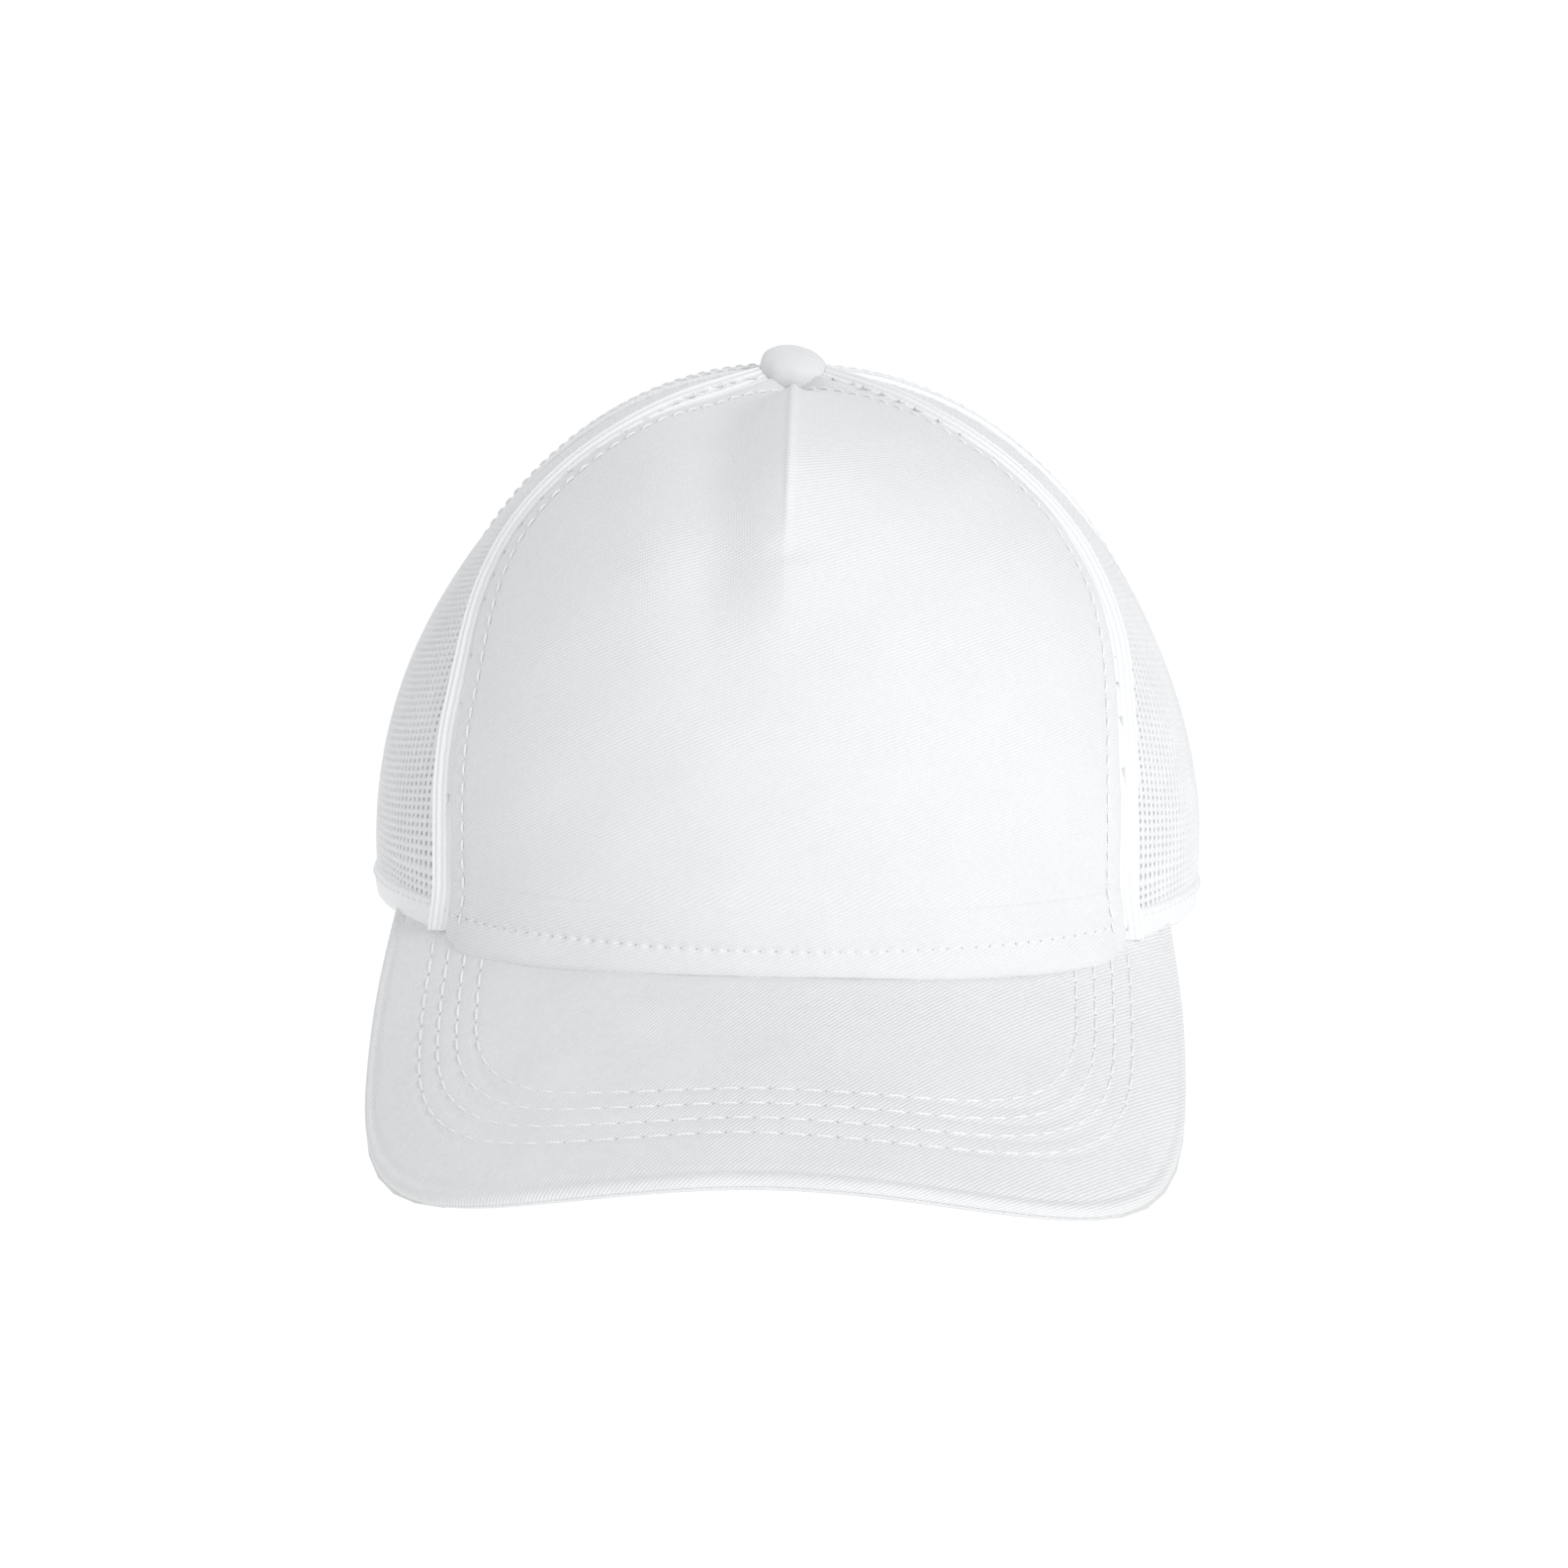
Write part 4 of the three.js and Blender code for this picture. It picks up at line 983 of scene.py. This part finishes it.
def arch_line(turn, margin):
    """The angles and rises of a line round the arch, at a margin outside its edge."""
    x = (ARCH_HALF + margin) * np.cos(turn)
    z = (ARCH_HEIGHT + margin) * np.sin(turn)
    return rear_spot(x, np.maximum(z, 0.15 * MM))


def arch_binding():
    """The tape folded over the arch's edge, with three rows of stitches."""
    turn = np.linspace(0, math.pi, 150)
    fold = np.linspace(-math.pi / 2, math.pi / 2, 9)[1:-1]
    leg = np.linspace(7.6, 0.2, 12)
    outside, inside = 0.95, -1.75
    centre, half = (outside + inside) / 2, (outside - inside) / 2
    margin = np.concatenate([leg, -0.1 - 0.8 * np.cos(fold), leg[::-1]]) * MM
    offset = np.concatenate([np.full(12, outside), centre - half * np.sin(fold), np.full(12, inside)])
    offset[0] -= 0.35
    offset[-1] += 0.3
    angle, rise = arch_line(turn[:, None], margin[None, :])
    points = crown(angle, rise, offset[None, :] * MM)
    length = turn[:, None] * (ARCH_HALF + ARCH_HEIGHT) / 2 + 0 * angle
    width = np.cumsum(np.full_like(angle, 0.6 * MM), axis=1)
    uv = np.stack([length, width], -1)
    tape = grid_object("rear_arch_binding_tape", points, uv, MATERIAL["binding"], 0.5 * MM)
    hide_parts("rear_arch_binding")
    face = tape.data.polygons[5]
    turn_faces(tape, face, Vector((0, 0.2, 0.05)) - face.center)
    for place, name in ((6.0, "outer"), (2.0, "edge"), (6.0, "inner")):
        inner = name == "inner"
        level = inside - 0.1 if inner else outside
        sew("arch_stitches_" + name, *arch_line(turn, place * MM), level * MM, 3 * MM, 0.72, inner,
            lift=0.08 * MM)


def turn_faces(obj, face, outward):
    """Turns an object's faces round if one of them faces the wrong way."""
    if face.normal.dot(outward) < 0:
        obj.data.flip_normals()


# Visor
VISOR_RADIUS = 128 * MM
SLOPE = math.radians(30)
VISOR_ORIGIN = np.array([0, -FRONT_DEPTH + 0.5 * MM, 0.5 * MM])
VISOR_HALF, VISOR_CORNER, VISOR_REACH = 93 * MM, -8 * MM, 75 * MM
VISOR_POWER = 2.85
VISOR_TAPER, VISOR_TAIL = 6 * MM, 54 * MM
VISOR_THICK, COVER_THICK = 3.2 * MM, 0.35 * MM
FORWARD = np.array([0, -math.cos(SLOPE), -math.sin(SLOPE)])
UPWARD = np.array([0, -math.sin(SLOPE), math.cos(SLOPE)])


def visor_point(across, forward, depth):
    """A point of the bent visor sheet from its flat distances and its depth below the top face."""
    turn = across / VISOR_RADIUS
    radius = VISOR_RADIUS - depth
    point = VISOR_ORIGIN + forward[..., None] * FORWARD
    point = point + (radius * np.cos(turn) - VISOR_RADIUS)[..., None] * UPWARD
    return point + (radius * np.sin(turn))[..., None] * np.array([1.0, 0, 0])


def visor_normal(across):
    """The direction out of the visor's top face."""
    turn = (across / VISOR_RADIUS)[..., None]
    return np.cos(turn) * UPWARD + np.sin(turn) * np.array([1.0, 0, 0])


def visor_edge(inset, count):
    """The visor's outline at an inset, from the wearer's left rear corner round the front."""
    half = VISOR_HALF - inset
    tail = np.linspace(1, 0, 40)[:-1]
    turn = np.linspace(0, math.pi, 400)
    across = half * np.sign(np.cos(turn)) * np.abs(np.cos(turn)) ** (2 / VISOR_POWER)
    forward = VISOR_CORNER + (VISOR_REACH - inset) * np.sin(turn) ** (2 / VISOR_POWER)
    tail_across = half - VISOR_TAPER * tail**2
    tail_forward = VISOR_CORNER - VISOR_TAIL * tail
    across = np.concatenate([tail_across, across, -tail_across[::-1]])
    forward = np.concatenate([tail_forward, forward, tail_forward[::-1]])
    length = distance_along(np.stack([across, forward], -1))
    even = np.linspace(0, length[-1], count)
    return np.interp(even, length, across), np.interp(even, length, forward)


def seam_line(across):
    """How far forward the crown's wall meets the visor's top face at a flat distance across."""
    x = VISOR_RADIUS * np.sin(across / VISOR_RADIUS)
    angle = np.arcsin(np.clip(x / HALF_WIDTH, -1, 1)) * 0.9
    for _ in range(20):
        radius = ring_radius(angle, SKIRT * 0.9)
        angle = np.arcsin(np.clip(x / radius, -0.98, 0.98))
    wall = surface(angle, np.full_like(angle, SKIRT * 0.9))
    drop = VISOR_RADIUS * (1 - np.cos(across / VISOR_RADIUS))
    back = wall[..., 1] - VISOR_ORIGIN[1] - drop * math.sin(SLOPE)
    return -back / math.cos(SLOPE)


STITCH_ROWS = [15 * MM + 4.6 * MM * row for row in range(4)]
VISOR_STITCH = 5.5 * MM
VISOR_DENT = 0.16 * MM
VISOR_RIM = np.array([0, 0.12, 0.35, 0.8, 1.3, 1.9, 2.6, 3.3, 4.0, 5.0]) * MM


def visor_grid(count):
    """Flat grid from the outer edge to the seam with the crown: across and forward."""
    edge_a, edge_f = visor_edge(0.0, count)
    share = np.linspace(-1, 1, count)
    seam_half = 0.975 * VISOR_HALF - VISOR_TAPER * 0.7
    seam_a = -share * seam_half
    seam_f = seam_line(seam_a) - 1.2 * MM
    span = np.hypot(seam_a - edge_a, seam_f - edge_f)[None, :]
    near, far = VISOR_RIM[-1], np.minimum(34 * MM, 0.7 * span)
    sewn = near + (far - near) * np.linspace(0, 1, 60)[1:, None]
    plain = far + (span - far) * np.linspace(0, 1, 42)[1:, None]
    t = np.concatenate([VISOR_RIM[:, None] / span, sewn / span, plain / span])
    across = edge_a + (seam_a - edge_a) * t
    forward = edge_f + (seam_f - edge_f) * t
    return across, forward


def distance_to_edge(across, forward):
    """The flat distance of each point from the visor's outline, worked out in blocks to save memory."""
    edge_a, edge_f = visor_edge(0.0, 700)
    flat = np.stack([across.ravel(), forward.ravel()], -1)
    best = np.full(len(flat), 1.0)
    for block in range(0, len(flat), 4000):
        part = flat[block:block + 4000]
        gap = np.hypot(part[:, None, 0] - edge_a[None], part[:, None, 1] - edge_f[None])
        best[block:block + 4000] = gap.min(axis=1)
    return best.reshape(across.shape)


def rim_roll(inset):
    """How far the cloth has rolled down round the board's half-round rim."""
    radius = VISOR_THICK / 2
    return radius - np.sqrt(np.clip(radius**2 - (radius - np.minimum(inset, radius)) ** 2, 0, None))


def visor_depth(across, forward, inset):
    """How far the cloth lies below the visor's plain top face: its rolled rim, its lip, the valleys of
    the stitching, the crease along the crown and a little unevenness."""
    dent = 0.0
    for row in STITCH_ROWS:
        dent = dent + VISOR_DENT * ridge(inset - row, 0.9 * MM)
    lip = 0.32 * MM * ridge(inset - 3.6 * MM, 0.8 * MM) - 0.15 * MM * ridge(inset - 1.8 * MM, 1.0 * MM)
    crease = 1.1 * MM * ridge(forward - seam_line(across) - 2.4 * MM, 1.5 * MM)
    crease = crease * (1 - smooth(np.abs(across), 50 * MM, 76 * MM))
    puff = 0.22 * MM * ripple(across, forward, 0.7) * smooth(inset, 2 * MM, 12 * MM)
    return rim_roll(inset) + dent + lip + crease - puff


def visor_cover(name, node, top):
    """The cloth over the board's top, or under it."""
    across, forward = visor_grid(330)
    inset = distance_to_edge(across, forward)
    inset[:len(VISOR_RIM)] = VISOR_RIM[:, None]
    depth = visor_depth(across, forward, inset)
    if not top:
        depth = VISOR_THICK - depth
    points = visor_point(across, forward, depth)
    outward = unit(np.stack([across[0] - across[-1], forward[0] - forward[-1]], -1))
    uv = np.stack([across, forward], -1) + outward[None] * rim_roll(inset)[..., None]
    cover = grid_object(name, points, uv, MATERIAL["visor" if top else "under"], COVER_THICK)
    face = cover.data.polygons[len(cover.data.polygons) // 2]
    turn_faces(cover, face, Vector(UPWARD if top else -UPWARD))
    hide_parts(node)


def visor_stitches():
    """Four rows of stitches that follow the visor's outline, above and below."""
    for number, row in enumerate(STITCH_ROWS):
        across, forward = visor_edge(row, 900)
        keep = forward > seam_line(across) + 2 * MM
        across, forward = across[keep], forward[keep]
        normal = visor_normal(across)
        depth = visor_depth(across, forward, np.full_like(across, row))
        for top in (True, False):
            name = "visor_stitches_%s_%d" % ("top" if top else "under", number + 1)
            line = visor_point(across, forward, depth if top else VISOR_THICK - depth)
            stitches(name, line, normal if top else -normal, VISOR_STITCH, 0.8, 0.26 * MM,
                     lift=0.08 * MM, needle=0.26 * MM)


# Button

def button():
    """The covered button: a dome of cloth with faint pleats round its edge, sewn on a little askew."""
    low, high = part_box("button_cover")
    radius = (high[0] - low[0]) / 2
    belly = low[2] + 0.3 * MM
    crest = high[2] - 0.4 * MM
    profile = []
    for step in range(30):
        turn = math.pi / 2 * step / 29
        profile.append((radius * math.sin(turn) ** 0.92, belly + (crest - belly) * math.cos(turn) ** 0.9))
    for step in range(1, 16):
        turn = math.pi / 2 * step / 15
        profile.append((radius * math.cos(turn) ** 0.6, belly - 4 * MM * math.sin(turn)))
    profile = np.array(profile)
    spin = np.linspace(0, 2 * math.pi, 97)
    x = profile[:, 0][:, None] * np.cos(spin)
    y = profile[:, 0][:, None] * np.sin(spin)
    pleat = 1 + 0.012 * np.cos(9 * spin)[None, :] * smooth(profile[:, 0] / radius, 0.8, 1.0)[:, None]
    points = np.stack([x * pleat, y * pleat, profile[:, 1][:, None] + 0 * x], -1)
    arc = distance_along(profile)[:, None]
    uv = np.stack([arc * np.cos(spin), arc * np.sin(spin)], -1)
    tilt = Matrix.Rotation(math.radians(11), 3, "Y") @ Matrix.Rotation(math.radians(14), 3, "X")
    pivot = np.array([0, 0, low[2]])
    points = (points - pivot) @ np.array(tilt).T + pivot + np.array([-0.3, -2.4, 0]) * MM
    cloth = grid_object("button_cover_cloth", points, uv, MATERIAL["button"])
    turn_faces(cloth, cloth.data.polygons[len(cloth.data.polygons) // 3], Vector((0, 0, 1)))
    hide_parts("button_cover", "button_shell")


# Straps
STRAP_LOW, STRAP_TALL, STRAP_THICK = 1 * MM, 20 * MM, 1.2 * MM
STRAP_ROOT, STRAP_TIP, STRAP_TAB = 27.0, 15.3, 15.8
SNAP_ANGLE, SNAP_COUNT, SNAPS_PAST = 5.6, 7, 2
HOLE_OFFSET, HOLE_RADIUS = -2.2 * MM, 2.5 * MM
PEG_OFFSET = HOLE_OFFSET - STRAP_THICK - 0.3 * MM
PEG_PROFILE = ((-0.3, 1.9), (0.1, 1.9), (1.7, 1.55), (2.05, 1.35), (2.2, 1.0), (2.24, 0.5))


def strap_point(angle, height, offset):
    """A point of a strap at an angle from the rear seam, positive on the wearer's left."""
    turn = math.pi - angle
    point = crown(turn, rise_at_height(turn, height), offset)
    point[..., 2] = height
    return point


def strap_body(name, first, last, offset, tip):
    """The curved strip with its free end rounded; its edges are eased afterwards, in bend_at_root."""
    columns, rows = 160, 15
    angle = np.radians(np.linspace(first, last, columns))[None, :]
    half = STRAP_TALL / 2
    middle = STRAP_LOW + half
    span = np.abs(angle - math.radians(tip)) * REAR_DEPTH
    gap = np.clip(half - span, 0, half)
    tall = np.sqrt(np.clip(half**2 - gap**2, (0.6 * MM) ** 2, None))
    q = np.linspace(-1, 1, rows)[:, None]
    height = middle + q * tall
    angle = angle + 0 * height
    outer = strap_point(angle, height, offset)
    inner = strap_point(angle, height, offset - STRAP_THICK)
    uv = np.stack([angle * REAR_DEPTH, height], -1)
    return slab(name, outer, inner, uv, MATERIAL["strap"], None)


def round_bar(angle, profile, sides=32):
    """A turned pin that stands on the strap's line: profile gives (offset, radius) pairs."""
    middle = np.full(1, STRAP_LOW + STRAP_TALL / 2)
    foot = strap_point(np.array([angle]), middle, 0.0)[0]
    tip = strap_point(np.array([angle]), middle, 10 * MM)[0]
    normal = unit(tip - foot)
    normal[2] = 0
    side = np.cross(normal, [0, 0, 1.0])
    spin = np.arange(sides) * 2 * math.pi / sides
    ring = np.cos(spin)[:, None] * side + np.sin(spin)[:, None] * np.array([0, 0, 1.0])
    points = [foot + normal * offset + ring * radius for offset, radius in profile]
    last = (len(profile) - 1) * sides
    faces = [face[::-1] for face in tube_faces(len(profile), sides)]
    faces += [tuple(range(sides)), tuple(reversed(range(last, last + sides)))]
    return np.concatenate(points), faces


def round_bars(angles, profile):
    """The points and faces of one pin at each of several angles."""
    points, faces = [], []
    for angle in angles:
        bar_points, bar_faces = round_bar(angle, profile)
        faces += [tuple(i + len(points) * len(bar_points) for i in face) for face in bar_faces]
        points.append(bar_points)
    return np.concatenate(points), faces


def cut_holes(strap, snaps):
    """Cuts the snap holes through a strap."""
    points, faces = round_bars(snaps, [(-8 * MM, HOLE_RADIUS), (4 * MM, HOLE_RADIUS)])
    mesh = bpy.data.meshes.new("hole_bars")
    mesh.from_pydata(points.tolist(), [], faces)
    cutter = bpy.data.objects.new("hole_bars", mesh)
    bpy.context.scene.collection.objects.link(cutter)
    boolean = strap.modifiers.new("holes", "BOOLEAN")
    boolean.operation = "DIFFERENCE"
    boolean.object = cutter
    boolean.solver = "EXACT"
    settle(strap)
    bpy.data.objects.remove(cutter)


def settle(obj):
    """Bakes an object's modifiers into its mesh."""
    view = bpy.context.evaluated_depsgraph_get()
    view.update()
    mesh = bpy.data.meshes.new_from_object(obj.evaluated_get(view))
    old = obj.data
    obj.modifiers.clear()
    obj.data = mesh
    bpy.data.meshes.remove(old)


def ease_edges(obj, width):
    """Rounds off an object's sharp edges."""
    bevel = obj.modifiers.new("eased", "BEVEL")
    bevel.width = width
    bevel.segments = 2
    bevel.limit_method = "ANGLE"
    bevel.angle_limit = math.radians(50)
    bevel.harden_normals = False


def straps():
    """The strap with holes, the strap with pegs and the pegs themselves."""
    snaps = [math.radians(SNAP_ANGLE * (index - SNAPS_PAST)) for index in range(SNAP_COUNT)]
    sewn_end = STRAP_ROOT + STRAP_TAB
    hole = strap_body("snap_strap_hole_shade", sewn_end, -STRAP_TIP, HOLE_OFFSET, -STRAP_TIP)
    cut_holes(hole, snaps)
    bend_at_root(hole, 1, HOLE_OFFSET, "hole_strap")
    peg = strap_body("snap_strap_pegs", STRAP_TIP, -sewn_end, PEG_OFFSET, STRAP_TIP)
    bend_at_root(peg, -1, PEG_OFFSET, "peg_strap")
    profile = [(PEG_OFFSET + offset * MM, radius * MM) for offset, radius in PEG_PROFILE]
    points, faces = round_bars([-angle for angle in snaps], profile)
    make_object("snap_pegs", points, faces, points[:, :2], MATERIAL["strap"], "peg_strap")


def bend_at_root(strap, side, offset, node):
    """Eases the strap's edges, bakes them into its mesh and hides the frame's strap and its tab. Two points
    of the strap's line just past the arch's binding are worked out, but no bend is made and the strap is not
    tied to the crown.
    """
    ease_edges(strap, 0.22 * MM)
    settle(strap)
    middle = np.full(2, STRAP_LOW + STRAP_TALL / 2)
    reach = side * np.radians([STRAP_ROOT + 0.9, STRAP_ROOT - 1.9])
    start, end = strap_point(reach, middle, offset - STRAP_THICK / 2)
    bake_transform(strap)
    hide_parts(node, node + "_tab")


# Carried CAD nodes

def paint_carried_nodes():
    """The board and the rivet keep their CAD shapes and take a material here."""
    for node, material in (("visor_board", "board"), ("button_rivet", "metal")):
        mesh = frame["nodes"][node].data
        mesh.materials.clear()
        mesh.materials.append(MATERIAL[material])


# Stage, light and camera

def stage():
    """A pale floor, wide and well below the cap."""
    size = 12.0
    z = cad_bounds[0][2] - 0.35
    corners = [(x * size, y * size, z) for x, y in ((-1, -1), (1, -1), (1, 1), (-1, 1))]
    mesh = bpy.data.meshes.new("floor")
    mesh.from_pydata(corners, [], [(0, 1, 2, 3)])
    floor = bpy.data.objects.new("floor", mesh)
    bpy.context.scene.collection.objects.link(floor)
    nodes = Nodes("pale_floor")
    grain = nodes.noise(nodes.place(), 1.5, 2)
    nodes.colours(grain, (0.93, 0.93, 0.93), (0.95, 0.95, 0.95))
    nodes.shader.inputs["Emission Color"].default_value = (1, 1, 1, 1)
    mesh.materials.append(nodes.shade(Roughness=0.9, Specular_IOR_Level=0.1, Emission_Strength=0.2))


WORLD_LIGHT = 0.68


def world():
    """An even, faintly cool light from all round, seen by the camera as plain white."""
    scene = bpy.context.scene
    scene.world = bpy.data.worlds.new("studio")
    scene.world.use_nodes = True
    tree = scene.world.node_tree
    background = tree.nodes["Background"]
    seen = tree.nodes.new("ShaderNodeBackground")
    mix = tree.nodes.new("ShaderNodeMixShader")
    path = tree.nodes.new("ShaderNodeLightPath")
    background.inputs["Color"].default_value = (0.96, 0.98, 1.0, 1)
    background.inputs["Strength"].default_value = WORLD_LIGHT
    seen.inputs["Color"].default_value = (1, 1, 1, 1)
    seen.inputs["Strength"].default_value = 1.0
    tree.links.new(path.outputs["Is Camera Ray"], mix.inputs["Fac"])
    tree.links.new(background.outputs["Background"], mix.inputs[1])
    tree.links.new(seen.outputs["Background"], mix.inputs[2])
    tree.links.new(mix.outputs["Shader"], tree.nodes["World Output"].inputs["Surface"])


def sun_light(name, place, strength, spread):
    """A distant light that shines from the direction of place, its spread in degrees."""
    light = bpy.data.lights.new(name, "SUN")
    light.energy = strength
    light.angle = math.radians(spread)
    obj = bpy.data.objects.new(name, light)
    bpy.context.scene.collection.objects.link(obj)
    obj.rotation_euler = (-Vector(place)).to_track_quat("-Z", "Y").to_euler()


def lights():
    """A key light from the front, to the wearer's left, and a softer one from behind."""
    sun_light("key", (0.58, -0.78, 0.38), 1.27, 22)
    sun_light("back", (-0.5, 0.9, 0.6), 0.5, 40)


def camera():
    """The camera in front of the cap, a little above it, at 2 m."""
    distance = 2.0
    yaw, elevation, roll = math.radians(1.2), math.radians(8.2), math.radians(0.92)
    target = Vector((-0.5 * MM, -21.9 * MM, 27.4 * MM))
    level = math.cos(elevation)
    back = Vector((math.sin(yaw) * level, -math.cos(yaw) * level, math.sin(elevation)))
    right = Vector((math.cos(yaw), math.sin(yaw), 0))
    up = back.cross(right)
    right_rolled = right * math.cos(roll) + up * math.sin(roll)
    up_rolled = up * math.cos(roll) - right * math.sin(roll)
    data = bpy.data.cameras.new("camera")
    data.lens = 217.5
    data.sensor_width = 36
    data.clip_end = 100
    obj = bpy.data.objects.new("camera", data)
    bpy.context.scene.collection.objects.link(obj)
    turn = Matrix((right_rolled, up_rolled, back)).transposed()
    obj.matrix_world = Matrix.Translation(target + back * distance) @ turn.to_4x4()
    bpy.context.scene.camera = obj
    bpy.context.scene.view_settings.view_transform = "Standard"


front_panel()
front_foam()
net_panels()
seam_bands()
hems()
inner_tapes()
sweatband()
arch_binding()
visor_cover("visor_cover_top_twill", "visor_cover_top", True)
visor_cover("visor_cover_under_twill", "visor_cover_under", False)
visor_stitches()
button()
straps()
paint_carried_nodes()
stage()
world()
lights()
camera()
